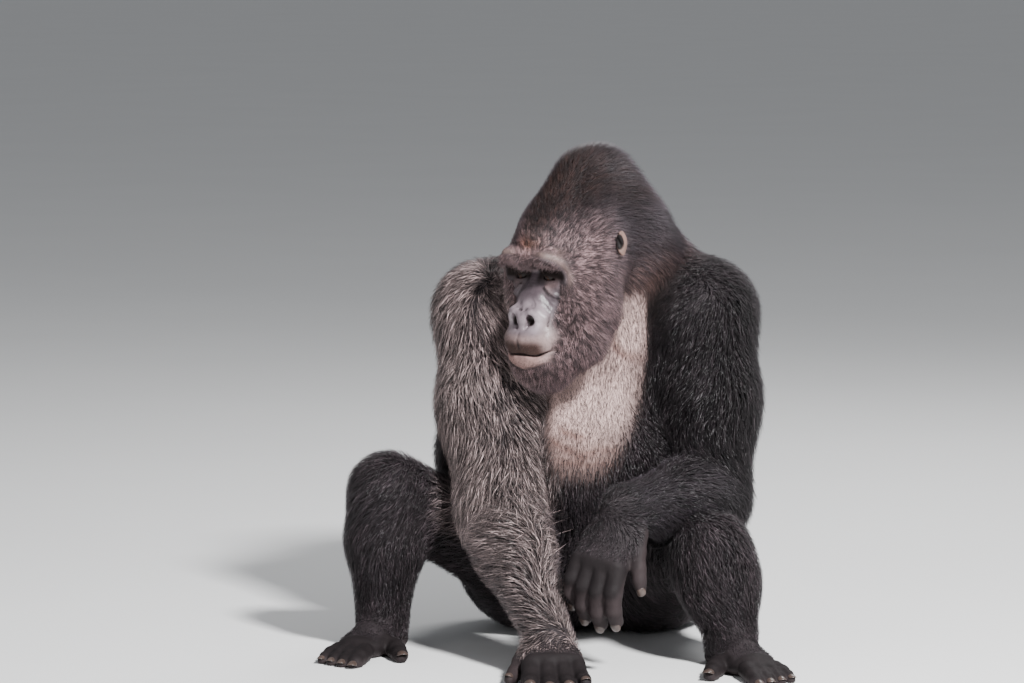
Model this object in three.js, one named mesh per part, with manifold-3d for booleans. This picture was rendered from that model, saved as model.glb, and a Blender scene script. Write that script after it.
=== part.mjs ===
// A male mountain gorilla (a silverback) at life size, sitting, as a still museum model.
//
// Units are millimetres, +Z is up, the chest faces -Y and the animal's own left is +X. It sits on its
// rump with the right knee raised and splayed, the left knee raised in front with the left forearm laid
// over it, the right hand on the floor between the feet and the head turned to its right and lowered a
// little.
//
// The body is a field of blended muscles, worked out as signed distances to the tips of the coat. The
// field is meshed by tetrahedra, thinned by edge collapse, and parted into head, neck, trunk and limbs
// by thin cuts.

import * as THREE from "three";
import Module from "manifold-3d";

// ---- Driving dimensions -------------------------------------------------------------------------

const GRID = 8; // spacing of the meshing grid
const CUT_GRID = 26; // spacing of the grid that meshes a curved cut
const BODY_TRIANGLES = 6100; // what is left of the body after thinning, before it is parted
const CUT_TRIANGLES = 130; // the same for one curved cut
const GAP = 1; // what a cut takes away between two parts
const CUT_SLACK = 0.08; // how far the edge of a part may shift when it is thinned after the cut

const EYE_RADIUS = 12.5;
const EYE_APART = 68; // between the centres of the eyes
const EYE_HEIGHT = 695; // the mid-point of the eyes, above the floor
const EYE_SIDE = -106; // the same point, across the body
const EYE_FRONT = -232; // and in front of the hips
const HEAD_YAW = -45; // degrees, turned to the animal's right
const HEAD_PITCH = 7; // degrees, lowered

const SHOULDER_SPAN = 404; // between the shoulder joints
const SHOULDER_HEIGHT = 606;
const SHOULDER_FORWARD = -44; // in front of the hips
const HIP_SPAN = 196;
const HIP_HEIGHT = 126;

// ---- Signed-distance shapes: each is a function (x, y, z) => millimetres, negative inside -------
// Each carries a centre and a reach, so that a blend can skip the shapes that are too far away to matter.

const radians = THREE.MathUtils.degToRad;

function shape(distance, centre, reach) {
  distance.centre = centre;
  distance.reach = reach;
  return distance;
}

// An ellipsoid at a point, with its three radii, turned by degrees about X, Y and Z.
function lump(at, radii, turn = [0, 0, 0]) {
  const [cx, cy, cz] = at;
  const [rx, ry, rz] = radii;
  const euler = new THREE.Euler(...turn.map(radians), "ZYX");
  const m = new THREE.Matrix4().makeRotationFromEuler(euler).transpose().elements;
  const f = (x, y, z) => {
    const px = x - cx;
    const py = y - cy;
    const pz = z - cz;
    const u = m[0] * px + m[4] * py + m[8] * pz;
    const v = m[1] * px + m[5] * py + m[9] * pz;
    const w = m[2] * px + m[6] * py + m[10] * pz;
    const k0 = Math.sqrt((u / rx) ** 2 + (v / ry) ** 2 + (w / rz) ** 2);
    const k1 = Math.sqrt((u / (rx * rx)) ** 2 + (v / (ry * ry)) ** 2 + (w / (rz * rz)) ** 2);
    return k1 < 1e-9 ? -Math.min(rx, ry, rz) : (k0 * (k0 - 1)) / k1;
  };
  return shape(f, at, Math.max(rx, ry, rz));
}

// A tapered limb with round ends, from a to b.
function limb(a, b, ra, rb) {
  const bx = b[0] - a[0];
  const by = b[1] - a[1];
  const bz = b[2] - a[2];
  const l2 = bx * bx + by * by + bz * bz;
  const rr = ra - rb;
  const a2 = l2 - rr * rr;
  const f = (x, y, z) => {
    const px = x - a[0];
    const py = y - a[1];
    const pz = z - a[2];
    const t = px * bx + py * by + pz * bz;
    const u = t - l2;
    const vx = px * l2 - bx * t;
    const vy = py * l2 - by * t;
    const vz = pz * l2 - bz * t;
    const x2 = vx * vx + vy * vy + vz * vz;
    const y2 = t * t * l2;
    const z2 = u * u * l2;
    const k = Math.sign(rr) * rr * rr * x2;
    if (Math.sign(u) * a2 * z2 > k) return Math.sqrt(x2 + z2) / l2 - rb;
    if (Math.sign(t) * a2 * y2 < k) return Math.sqrt(x2 + y2) / l2 - ra;
    return (Math.sqrt((x2 * a2) / l2) + t * rr) / l2 - ra;
  };
  const centre = a.map((v, i) => (v + b[i]) / 2);
  return shape(f, centre, Math.sqrt(l2) / 2 + Math.max(ra, rb));
}

// A chain of limbs through points [x, y, z, radius].
function chain(points, k = 12) {
  const bones = points.slice(1).map((end, i) => {
    const start = points[i];
    return limb(start.slice(0, 3), end.slice(0, 3), start[3], end[3]);
  });
  return blend(k, ...bones);
}

function length(x, y, z) {
  return Math.sqrt(x * x + y * y + z * z);
}

function smoothMin(a, b, k) {
  const h = Math.max(k - Math.abs(a - b), 0) / k;
  return Math.min(a, b) - (h * h * k) / 4;
}

// The union of the shapes, with fillets of about k.
function blend(k, ...shapes) {
  const box = new THREE.Box3();
  for (const s of shapes) {
    const c = new THREE.Vector3(...s.centre);
    box.expandByPoint(c.clone().addScalar(s.reach));
    box.expandByPoint(c.clone().addScalar(-s.reach));
  }
  const sphere = box.getBoundingSphere(new THREE.Sphere());
  const f = (x, y, z) => {
    let d = 1e6;
    for (const s of shapes) {
      const c = s.centre;
      const near = Math.sqrt((x - c[0]) ** 2 + (y - c[1]) ** 2 + (z - c[2]) ** 2) - s.reach;
      if (near < d + k) d = smoothMin(d, s(x, y, z), k);
    }
    return d;
  };
  return shape(f, sphere.center.toArray(), sphere.radius);
}

// Adds a part to the distance d, with a fillet of k that fades out within a reach of the joint that
// they share.
function nearBlend(d, part, joint, reach, k, x, y, z) {
  const c = part.centre;
  if (length(x - c[0], y - c[1], z - c[2]) - part.reach > d + k) return d;
  const away = length(x - joint[0], y - joint[1], z - joint[2]) / reach;
  return smoothMin(d, part(x, y, z), Math.max(2, k * Math.max(0, 1 - away) ** 0.5));
}

// The body with the tools carved out of it, with soft rims of about k.
function carve(body, k, ...tools) {
  const f = (x, y, z) => tools.reduce((d, tool) => -smoothMin(-d, tool(x, y, z), k), body(x, y, z));
  return shape(f, body.centre, body.reach);
}

// Both sides of a shape that is given for +X.
function pair(side) {
  const [x, y, z] = side.centre;
  return shape((px, py, pz) => side(Math.abs(px), py, pz), [0, y, z], side.reach + Math.abs(x));
}

// A shape moved by a rigid matrix, which may mirror.
function placed(local, matrix) {
  const m = matrix.clone().invert().elements;
  const f = (x, y, z) =>
    local(
      m[0] * x + m[4] * y + m[8] * z + m[12],
      m[1] * x + m[5] * y + m[9] * z + m[13],
      m[2] * x + m[6] * y + m[10] * z + m[14],
    );
  return shape(f, new THREE.Vector3(...local.centre).applyMatrix4(matrix).toArray(), local.reach);
}

// ---- Head: its own frame has the mid-point of the eyes at the origin and the face towards -Y ----

const headMatrix = new THREE.Matrix4()
  .makeTranslation(EYE_SIDE, EYE_FRONT, EYE_HEIGHT)
  .multiply(new THREE.Matrix4().makeRotationZ(radians(HEAD_YAW)))
  .multiply(new THREE.Matrix4().makeRotationX(radians(HEAD_PITCH)));

function skull() {
  return blend(
    26,
    lump([0, 98, 50], [96, 116, 98]), // braincase with the temple muscles
    lump([0, 168, 102], [66, 114, 112], [-4, 0, 0]), // the tall crest of the crown
    limb([0, 18, 66], [0, 126, 158], 40, 47), // forehead that slopes up to it
    pair(lump([70, 80, 8], [46, 76, 72])), // temple and jaw muscle
    lump([0, 205, 40], [98, 100, 112]), // back of the head
  );
}

function cheeks() {
  return blend(
    24,
    pair(lump([72, 58, -58], [48, 66, 84], [8, 0, -8])),
    pair(limb([66, 16, -18], [90, 60, -8], 20, 28)), // cheek bone
    pair(limb([28, -8, -158], [72, 38, -130], 38, 46)), // jaw
    lump([0, 52, -112], [74, 76, 68]), // throat
  );
}

function brow() {
  return blend(
    10,
    pair(limb([0, -23, 30], [44, -22, 35], 16, 16.5)),
    pair(limb([44, -22, 35], [76, 6, 20], 16.5, 15)),
    pair(limb([76, 6, 20], [75, 14, -12], 15, 12)), // outer rim of the orbit
  );
}

function muzzle() {
  return blend(
    15,
    lump([0, -4, -88], [58, 44, 54]), // upper jaw
    limb([0, 6, -6], [0, -27, -74], 14, 19), // bridge of the nose
    pair(lump([20, -38, -80], [19, 18, 15])), // flared nostrils
    lump([0, -28, -114], [60, 42, 31]), // upper lip
    lump([0, -25, -150], [56, 40, 28]), // lower lip and chin
    lump([0, -2, -176], [62, 50, 46]), // beard
  );
}

const socket = pair(lump([36, -24, 4], [24, 26, 14], [0, 0, -20]));
const nostril = pair(lump([14, -56, -84], [9, 11, 7]));
const mouth = lump([0, -56, -133], [54, 32, 2.6]);
const head = placed(
  carve(blend(18, skull(), cheeks(), brow(), muzzle()), 6, socket, nostril, mouth),
  headMatrix,
);

const earMatrix = (side) =>
  headMatrix
    .clone()
    .multiply(new THREE.Matrix4().makeScale(side, 1, 1))
    .multiply(new THREE.Matrix4().makeTranslation(112, 100, 44))
    .multiply(new THREE.Matrix4().makeRotationZ(radians(-8)));

// A small rounded ear: a disc with a carved bowl, standing a little off the head.
function ear(side) {
  const disc = blend(4, lump([0, 0, 2], [12, 16, 24.5]), lump([2, -1, -17], [9, 9.5, 11]));
  return placed(carve(disc, 3, lump([14, -6, 5], [9, 8.5, 14])), earMatrix(side));
}

// ---- Neck and trunk -----------------------------------------------------------------------------

const neck = blend(
  50,
  limb([20, -46, 726], [4, 60, 640], 132, 180),
  limb([30, -60, 690], [10, -20, 600], 112, 146),
  limb([52, 40, 712], [176, 8, 632], 92, 76), // trapezius, raised on the left as the head turns away
  limb([-30, 70, 680], [-160, 30, 606], 90, 72),
);

const chest = blend(
  60,
  lump([0, 76, 508], [248, 196, 196]), // rib cage
  pair(lump([150, 44, 592], [140, 130, 100], [0, 12, 0])), // shoulder girdle
  lump([0, 150, 585], [190, 110, 120]), // hump of the upper back
  pair(lump([82, -62, 500], [100, 74, 108], [0, 0, 10])), // breast muscles
);

const belly = blend(
  60,
  lump([-6, 28, 340], [296, 228, 196]),
  lump([0, 84, 190], [266, 214, 182]),
  pair(lump([110, 126, 110], [140, 128, 122])), // buttocks
);

// ---- Arms ---------------------------------------------------------------------------------------

const shoulderAt = (side) => [(side * SHOULDER_SPAN) / 2, SHOULDER_FORWARD, SHOULDER_HEIGHT];
const ARMS = {
  right: { side: -1, elbow: [-174, -206, 262], wrist: [-88, -424, 70], inward: 10 },
  left: { side: 1, elbow: [202, -142, 276], wrist: [46, -368, 290], inward: 38 },
};

function along(a, b, t) {
  return a.map((v, i) => v + (b[i] - v) * t);
}

function armField({ side, elbow, wrist, inward }) {
  const shoulder = shoulderAt(side);
  const biceps = along(shoulder, elbow, 0.45);
  const forearmBelly = along(elbow, wrist, 0.3);
  return blend(
    34,
    lump(shoulder, [98, 112, 100]), // deltoid
    lump([shoulder[0] - side * inward, shoulder[1] - 50, shoulder[2] - 8], [70, 68, 84]), // its front lobe
    limb(shoulder, biceps, 96, 96),
    limb(biceps, elbow, 96, 82),
    lump([biceps[0], biceps[1] + 24, biceps[2] - 16], [102, 94, 140], [-24, 0, 0]), // long hair of the arm
    limb(elbow, forearmBelly, 82, 76),
    limb(forearmBelly, wrist, 76, 46),
  );
}

// ---- Hands: the wrist is the origin, the fingers point to -Y, the back of the hand to +Z, the thumb to +X 

const FINGERS = [
  { x: 39, length: 108, radius: 16.5 },
  { x: 13, length: 118, radius: 17 },
  { x: -13, length: 112, radius: 16.5 },
  { x: -38, length: 92, radius: 15 },
];
const PHALANGES = [0.44, 0.32, 0.24];

// A finger from its knuckle, bent by curl degrees at each of its three joints.
function finger({ x, length, radius }, knuckle, curl, heading = 0) {
  let at = [x, knuckle[1], knuckle[2]];
  let angle = 0;
  const points = [[...at, radius * 1.12]];
  PHALANGES.forEach((share, i) => {
    angle += radians(curl[i]);
    const reach = share * length;
    const flat = Math.cos(angle) * reach;
    const step = [Math.sin(heading) * flat, -Math.cos(heading) * flat, -Math.sin(angle) * reach];
    at = at.map((v, axis) => v + step[axis]);
    points.push([...at, radius * (1 - 0.12 * i)]);
  });
  return chain(points, 6);
}

function handField(curl, thumbCurl) {
  const palm = blend(
    14,
    lump([0, -58, -2], [57, 68, 29]),
    limb([0, 8, 0], [0, -40, -2], 40, 34),
    limb([-34, -100, 0], [34, -106, 0], 19, 20), // the row of knuckles
    limb([36, -30, -10], [50, -62, -14], 25, 18), // ball of the thumb
  );
  const fingers = FINGERS.map((f) => finger(f, [0, -104, 0], curl, radians(f.x * 0.16)));
  const thumb = finger({ x: 54, length: 66, radius: 14 }, [0, -66, -16], thumbCurl, radians(24));
  return blend(5, blend(8, palm, thumb), ...fingers);
}

// A frame at a point whose -Y looks along a direction and whose +Z leans to another; mirrored for a
// left hand.
function frameAt(origin, forward, up, mirror) {
  const y = new THREE.Vector3(...forward).normalize().negate();
  const z = new THREE.Vector3(...up);
  z.addScaledVector(y, -z.dot(y)).normalize();
  const x = new THREE.Vector3().crossVectors(y, z);
  const m = new THREE.Matrix4().makeBasis(x, y, z).setPosition(...origin);
  return mirror ? m.multiply(new THREE.Matrix4().makeScale(-1, 1, 1)) : m;
}

const HANDS = {
  right: placed(
    handField([10, 34, 36], [10, 16, 18]),
    frameAt([-88, -424, 62], [0.08, -1, -0.24], [0, 0, 1], true),
  ),
  left: placed(
    handField([16, 26, 26], [12, 14, 14]),
    frameAt([42, -372, 288], [-0.4, -0.42, -0.82], [-0.4, -0.76, 0.5], false),
  ),
};

// ---- Legs ---------------------------------------------------------------------------------------

const hipAt = (side) => [(side * HIP_SPAN) / 2, 40, HIP_HEIGHT];
const LEGS = {
  right: { side: -1, knee: [-378, -150, 290], ankle: [-390, -128, 66], toes: [-0.34, -1, 0] },
  left: { side: 1, knee: [204, -280, 200], ankle: [238, -312, 62], toes: [0.3, -1, 0] },
};

function legField({ side, knee, ankle }) {
  const hip = hipAt(side);
  const calf = along(knee, ankle, 0.4);
  return blend(
    34,
    lump(hip, [120, 124, 118]),
    limb(hip, knee, 106, 70),
    limb(knee, calf, 73, 73),
    limb(calf, ankle, 73, 52),
  );
}

// A foot: the ankle is over the origin, the toes point to -Y, the great toe stands off to +X.
function footField() {
  const sole = blend(
    18,
    lump([0, 28, 24], [38, 50, 36]), // heel
    limb([0, 10, 44], [0, -60, 34], 44, 34), // instep
    lump([-2, -84, 24], [48, 66, 26]), // ball of the foot
  );
  const toes = [-36, -17, 2, 21].map((x, i) =>
    finger(
      { x, length: 62 + 6 * i, radius: 12 + 0.8 * i },
      [0, -134 - 4 * i, 20],
      [6, 16, 20],
      radians(x * 0.2),
    ),
  );
  const greatToe = finger({ x: 44, length: 88, radius: 17 }, [0, -66, 20], [4, 8, 10], radians(32));
  return blend(6, blend(9, sole, greatToe), ...toes);
}

function footPlaced({ side, ankle, toes }) {
  return placed(footField(), frameAt([ankle[0], ankle[1], -4], toes, [0, 0, 1], side < 0 ? false : true));
}

// ---- The whole body, its groups and the cuts between them ---------------------------------------

// The core and a limb, blended only near the joint that they share.
function joined(core, part, joint, reach, k) {
  const f = (x, y, z) => nearBlend(core(x, y, z), part, joint, reach, k, x, y, z);
  return shape(f, core.centre, core.reach + part.reach * 2);
}

// A limb with its hand or foot, blended at the wrist or ankle.
function withEnd(part, end, joint) {
  const whole = joined(part, end, joint, 90, 30);
  const box = [part, end].flatMap(({ centre, reach }) => [
    centre.map((v) => v - reach),
    centre.map((v) => v + reach),
  ]);
  const sphere = new THREE.Box3()
    .setFromPoints(box.map((p) => new THREE.Vector3(...p)))
    .getBoundingSphere(new THREE.Sphere());
  return shape(whole, sphere.center.toArray(), sphere.radius);
}

const FEET = { right: footPlaced(LEGS.right), left: footPlaced(LEGS.left) };

const arms = Object.fromEntries(
  Object.entries(ARMS).map(([name, arm]) => [name, withEnd(armField(arm), HANDS[name], arm.wrist)]),
);
const legs = Object.fromEntries(
  Object.entries(LEGS).map(([name, leg]) => [name, withEnd(legField(leg), FEET[name], leg.ankle)]),
);

const trunk = blend(50, chest, belly);
const ears = { right: ear(-1), left: ear(1) };
const core = joined(blend(40, trunk, neck), head, [20, -30, 700], 260, 46);

function wholeBody(x, y, z) {
  let d = core(x, y, z);
  for (const name of ["right", "left"]) {
    const side = ARMS[name].side;
    d = nearBlend(d, arms[name], shoulderAt(side), 190, 60, x, y, z);
    d = nearBlend(d, legs[name], hipAt(side), 230, 60, x, y, z);
    d = nearBlend(d, ears[name], ears[name].centre, 60, 4, x, y, z);
  }
  return d;
}

// ---- Meshing: marching tetrahedra, which always gives a closed surface --------------------------

const CORNERS = [0, 1, 2, 3, 4, 5, 6, 7].map((i) => [i & 1, (i >> 1) & 1, (i >> 2) & 1]);
const TETRAHEDRA = [
  [0, 1, 3, 7],
  [0, 3, 2, 7],
  [0, 2, 6, 7],
  [0, 6, 4, 7],
  [0, 4, 5, 7],
  [0, 5, 1, 7],
];

const BLOCK = 5;

// Meshes the surface where the field is level, inside a box, with cubes of side h.
function meshField(field, box, h, level = 0) {
  const n = ["x", "y", "z"].map((axis) => Math.ceil((box.max[axis] - box.min[axis]) / h) + 3);
  const origin = box.min.clone().subScalar(h);
  const values = new Float32Array(n[0] * n[1] * n[2]);
  const index = (i, j, k) => i + n[0] * (j + n[1] * k);
  const sample = (i, j, k) => field(origin.x + i * h, origin.y + j * h, origin.z + k * h) - level;
  const fillBlock = (at, fill) => {
    const to = at.map((v, axis) => Math.min(v + BLOCK, n[axis]));
    for (let k = at[2]; k < to[2]; k++)
      for (let j = at[1]; j < to[1]; j++)
        for (let i = at[0]; i < to[0]; i++) {
          const edge = !i || !j || !k || i === n[0] - 1 || j === n[1] - 1 || k === n[2] - 1;
          const d = fill(i, j, k);
          values[index(i, j, k)] = edge ? Math.max(d, h / 2) : Math.abs(d) < 1e-3 ? 1e-3 : d;
        }
  };
  // Only the blocks of the grid that the surface may cross are sampled point by point.
  for (let k = 0; k < n[2]; k += BLOCK)
    for (let j = 0; j < n[1]; j += BLOCK)
      for (let i = 0; i < n[0]; i += BLOCK) {
        const middle = sample(i + BLOCK / 2, j + BLOCK / 2, k + BLOCK / 2);
        const clear = Math.abs(middle) > BLOCK * h * 1.4;
        fillBlock([i, j, k], clear ? () => middle : sample);
      }
  const positions = [];
  const faces = [];
  const cache = new Map();
  const total = values.length;
  const pointOn = (a, b) => {
    const key = a < b ? a * total + b : b * total + a;
    let id = cache.get(key);
    if (id !== undefined) return id;
    const t = values[a] / (values[a] - values[b]);
    const pa = [a % n[0], Math.floor(a / n[0]) % n[1], Math.floor(a / (n[0] * n[1]))];
    const pb = [b % n[0], Math.floor(b / n[0]) % n[1], Math.floor(b / (n[0] * n[1]))];
    id = positions.length / 3;
    positions.push(...pa.map((v, i) => origin.getComponent(i) + (v + (pb[i] - v) * t) * h));
    cache.set(key, id);
    return id;
  };
  for (let k = 0; k < n[2] - 1; k++)
    for (let j = 0; j < n[1] - 1; j++)
      for (let i = 0; i < n[0] - 1; i++) {
        let inside = 0;
        for (const [a, b, c] of CORNERS) if (values[index(i + a, j + b, k + c)] < 0) inside++;
        if (inside === 0 || inside === 8) continue;
        const ids = CORNERS.map(([a, b, c]) => index(i + a, j + b, k + c));
        for (const tetra of TETRAHEDRA) marchTetra(tetra.map((c) => ids[c]), values, pointOn, faces);
      }
  return { positions: Float64Array.from(positions), faces: Int32Array.from(faces) };
}

// Adds the one or two triangles of a tetrahedron, facing from its inner corners to its outer ones.
function marchTetra(t, values, pointOn, faces) {
  const inner = t.filter((id) => values[id] < 0);
  const outer = t.filter((id) => values[id] >= 0);
  if (!inner.length || !outer.length) return;
  // An even order of the corners keeps the winding.
  const order = [...inner, ...outer].map((id) => t.indexOf(id));
  let swaps = 0;
  for (let i = 0; i < 4; i++) for (let j = i + 1; j < 4; j++) if (order[i] > order[j]) swaps++;
  const even = swaps % 2 === 0;
  const add = (a, b, c) => (even ? faces.push(a, b, c) : faces.push(a, c, b));
  if (inner.length === 1) {
    const [a, b, c, d] = [...inner, ...outer];
    add(pointOn(a, b), pointOn(a, c), pointOn(a, d));
  } else if (inner.length === 3) {
    const [a, b, c, d] = [...inner, ...outer];
    add(pointOn(a, d), pointOn(b, d), pointOn(c, d));
  } else {
    const [a, b, c, d] = [...inner, ...outer];
    const [ac, ad, bc, bd] = [pointOn(a, c), pointOn(a, d), pointOn(b, c), pointOn(b, d)];
    add(ac, ad, bd);
    add(ac, bd, bc);
  }
}

// ---- Thinning: edge collapse by quadric error (Garland and Heckbert) ----------------------------

// A binary heap of entries with a cost.
class Heap {
  entries = [];

  push(entry) {
    let i = this.entries.push(entry) - 1;
    while (i > 0) {
      const parent = (i - 1) >> 1;
      if (this.entries[parent].cost <= entry.cost) break;
      this.entries[i] = this.entries[parent];
      i = parent;
    }
    this.entries[i] = entry;
  }

  pop() {
    const { entries } = this;
    const top = entries[0];
    const last = entries.pop();
    let i = 0;
    for (let child = 1; child < entries.length; child = 2 * i + 1) {
      if (child + 1 < entries.length && entries[child + 1].cost < entries[child].cost) child++;
      if (entries[child].cost >= last.cost) break;
      entries[i] = entries[child];
      i = child;
    }
    if (entries.length) entries[i] = last;
    return top;
  }
}

// Keeps about the wanted number of triangles, or all that it takes to stay within the slack.
// weight(x, y, z) says how much detail a place should keep.
function thin({ positions: p, faces }, wanted, weight = () => 1, slack = Infinity) {
  const vertexCount = p.length / 3;
  const around = Array.from({ length: vertexCount }, () => []);
  const quadrics = new Float64Array(vertexCount * 10);
  const alive = new Uint8Array(faces.length / 3).fill(1);
  const before = new Float64Array(4);
  const after = new Float64Array(4);

  // The normal of a face, times twice its area, and that area; vertex `moved`, if any, is taken at x, y, z.
  const normal = (out, f, moved = -1, x = 0, y = 0, z = 0) => {
    const [a, b, c] = [faces[3 * f], faces[3 * f + 1], faces[3 * f + 2]];
    const [ax, ay, az] = a === moved ? [x, y, z] : [p[3 * a], p[3 * a + 1], p[3 * a + 2]];
    const [bx, by, bz] = b === moved ? [x, y, z] : [p[3 * b], p[3 * b + 1], p[3 * b + 2]];
    const [cx, cy, cz] = c === moved ? [x, y, z] : [p[3 * c], p[3 * c + 1], p[3 * c + 2]];
    out[0] = (by - ay) * (cz - az) - (bz - az) * (cy - ay);
    out[1] = (bz - az) * (cx - ax) - (bx - ax) * (cz - az);
    out[2] = (bx - ax) * (cy - ay) - (by - ay) * (cx - ax);
    out[3] = length(out[0], out[1], out[2]);
  };

  for (let f = 0; f < alive.length; f++) {
    normal(before, f);
    const size = before[3] || 1e-12;
    const [a, b, c] = [before[0] / size, before[1] / size, before[2] / size];
    const v = 3 * faces[3 * f];
    const d = -(a * p[v] + b * p[v + 1] + c * p[v + 2]);
    const w = (size / 2) * weight(p[v], p[v + 1], p[v + 2]);
    const q = [a * a, a * b, a * c, a * d, b * b, b * c, b * d, c * c, c * d, d * d];
    for (let i = 0; i < 3; i++) {
      const id = faces[3 * f + i];
      around[id].push(f);
      for (let j = 0; j < 10; j++) quadrics[10 * id + j] += q[j] * w;
    }
  }

  const q = new Float64Array(10);
  const error = (x, y, z) =>
    q[0] * x * x + q[4] * y * y + q[7] * z * z + q[9] +
    2 * (q[1] * x * y + q[2] * x * z + q[3] * x + q[5] * y * z + q[6] * y + q[8] * z);

  // Where an edge is best drawn together: its ends, its middle or the point of least error near them.
  const version = new Int32Array(vertexCount);
  const heap = new Heap();
  const pushEdge = (u, v) => {
    for (let i = 0; i < 10; i++) q[i] = quadrics[10 * u + i] + quadrics[10 * v + i];
    const [ux, uy, uz] = [p[3 * u], p[3 * u + 1], p[3 * u + 2]];
    const [vx, vy, vz] = [p[3 * v], p[3 * v + 1], p[3 * v + 2]];
    const [mx, my, mz] = [(ux + vx) / 2, (uy + vy) / 2, (uz + vz) / 2];
    const size = length(ux - vx, uy - vy, uz - vz);
    let [x, y, z, cost] = [mx, my, mz, error(mx, my, mz)];
    const attempt = (tx, ty, tz) => {
      const e = error(tx, ty, tz);
      if (e < cost) [x, y, z, cost] = [tx, ty, tz, e];
    };
    attempt(ux, uy, uz);
    attempt(vx, vy, vz);
    const c0 = q[4] * q[7] - q[5] * q[5];
    const c1 = q[2] * q[5] - q[1] * q[7];
    const c2 = q[1] * q[5] - q[2] * q[4];
    const det = q[0] * c0 + q[1] * c1 + q[2] * c2;
    if (Math.cbrt(Math.abs(det)) > 0.02 * (q[0] + q[4] + q[7])) {
      const bx = -(c0 * q[3] + c1 * q[6] + c2 * q[8]) / det;
      const by = -(c1 * q[3] + (q[0] * q[7] - q[2] * q[2]) * q[6] + (q[1] * q[2] - q[0] * q[5]) * q[8]) / det;
      const bz = -(c2 * q[3] + (q[1] * q[2] - q[0] * q[5]) * q[6] + (q[0] * q[4] - q[1] * q[1]) * q[8]) / det;
      if (length(bx - mx, by - my, bz - mz) < 1.2 * size) attempt(bx, by, bz);
    }
    if (cost > slack * slack * (q[0] + q[4] + q[7])) return;
    heap.push({ cost: cost + 1e-4 * size ** 4, u, v, x, y, z, stamp: version[u] + version[v] });
  };

  const mark = new Int32Array(vertexCount).fill(-1);
  const ring = (v) => {
    const out = [];
    for (const f of around[v])
      for (let i = 3 * f; i < 3 * f + 3; i++) {
        const id = faces[i];
        if (id !== v && mark[id] !== v) {
          mark[id] = v;
          out.push(id);
        }
      }
    for (const id of out) mark[id] = -1;
    return out;
  };

  const turnsOver = (here, other, x, y, z) =>
    around[here].some((f) => {
      if (faces[3 * f] === other || faces[3 * f + 1] === other || faces[3 * f + 2] === other) return false;
      normal(before, f);
      normal(after, f, here, x, y, z);
      const dot = before[0] * after[0] + before[1] * after[1] + before[2] * after[2];
      return after[3] < 1e-3 || dot < 0.35 * before[3] * after[3];
    });
  // A face that would turn over, or the wrong number of shared neighbours, refuses a collapse.
  const allowed = ({ u, v, x, y, z }) => {
    const ringV = ring(v);
    const shared = ring(u).filter((id) => ringV.includes(id)).length;
    return shared === 2 && !turnsOver(u, v, x, y, z) && !turnsOver(v, u, x, y, z);
  };

  for (let v = 0; v < vertexCount; v++) for (const w of ring(v)) if (v < w) pushEdge(v, w);
  let count = alive.length;
  while (count > wanted && heap.entries.length) {
    const entry = heap.pop();
    const { u, v, stamp } = entry;
    if (version[u] < 0 || version[v] < 0 || version[u] + version[v] !== stamp || !allowed(entry)) continue;
    for (const f of around[v]) {
      const ids = [faces[3 * f], faces[3 * f + 1], faces[3 * f + 2]];
      if (ids.includes(u)) {
        alive[f] = 0;
        count--;
        for (const id of ids) if (id !== v) around[id] = around[id].filter((g) => g !== f);
      } else {
        faces[3 * f + ids.indexOf(v)] = u;
        around[u].push(f);
      }
    }
    around[v] = [];
    version[v] = -1e9;
    version[u]++;
    p[3 * u] = entry.x;
    p[3 * u + 1] = entry.y;
    p[3 * u + 2] = entry.z;
    for (let i = 0; i < 10; i++) quadrics[10 * u + i] += quadrics[10 * v + i];
    for (const w of ring(u)) pushEdge(u, w);
  }

  const remap = new Map();
  const kept = { positions: [], faces: [] };
  alive.forEach((on, f) => {
    if (!on) return;
    for (let i = 3 * f; i < 3 * f + 3; i++) {
      const id = faces[i];
      if (!remap.has(id)) {
        remap.set(id, remap.size);
        kept.positions.push(p[3 * id], p[3 * id + 1], p[3 * id + 2]);
      }
      kept.faces.push(remap.get(id));
    }
  });
  return kept;
}

// ---- Solids: joins and cuts ---------------------------------------------------------------------

const wasm = await Module();
wasm.setup();

function solidOf({ positions, faces }) {
  return new wasm.Manifold(
    new wasm.Mesh({
      numProp: 3,
      vertProperties: Float32Array.from(positions),
      triVerts: Uint32Array.from(faces),
    }),
  );
}

// A three.js geometry as a solid.
function solidOfGeometry(geometry, matrix = new THREE.Matrix4()) {
  const g = geometry.clone().applyMatrix4(matrix);
  const key = (i) => ["X", "Y", "Z"].map((axis) => g.attributes.position[`get${axis}`](i).toFixed(3)).join();
  const ids = new Map();
  const positions = [];
  const order = g.index ? [...g.index.array] : [...Array(g.attributes.position.count).keys()];
  const welded = order.map((i) => {
    const k = key(i);
    if (!ids.has(k)) {
      ids.set(k, ids.size);
      positions.push(...new THREE.Vector3().fromBufferAttribute(g.attributes.position, i).toArray());
    }
    return ids.get(k);
  });
  const faces = [];
  for (let i = 0; i < welded.length; i += 3) {
    const [a, b, c] = welded.slice(i, i + 3);
    if (a !== b && b !== c && c !== a) faces.push(a, b, c);
  }
  return solidOf({ positions, faces });
}

function boxOf(solid) {
  const { min, max } = solid.boundingBox();
  return new THREE.Box3(new THREE.Vector3(...min), new THREE.Vector3(...max));
}

// The largest piece, without the crumbs that a cut can leave.
function largest(solid) {
  return solid.decompose().sort((a, b) => b.volume() - a.volume())[0];
}

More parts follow.
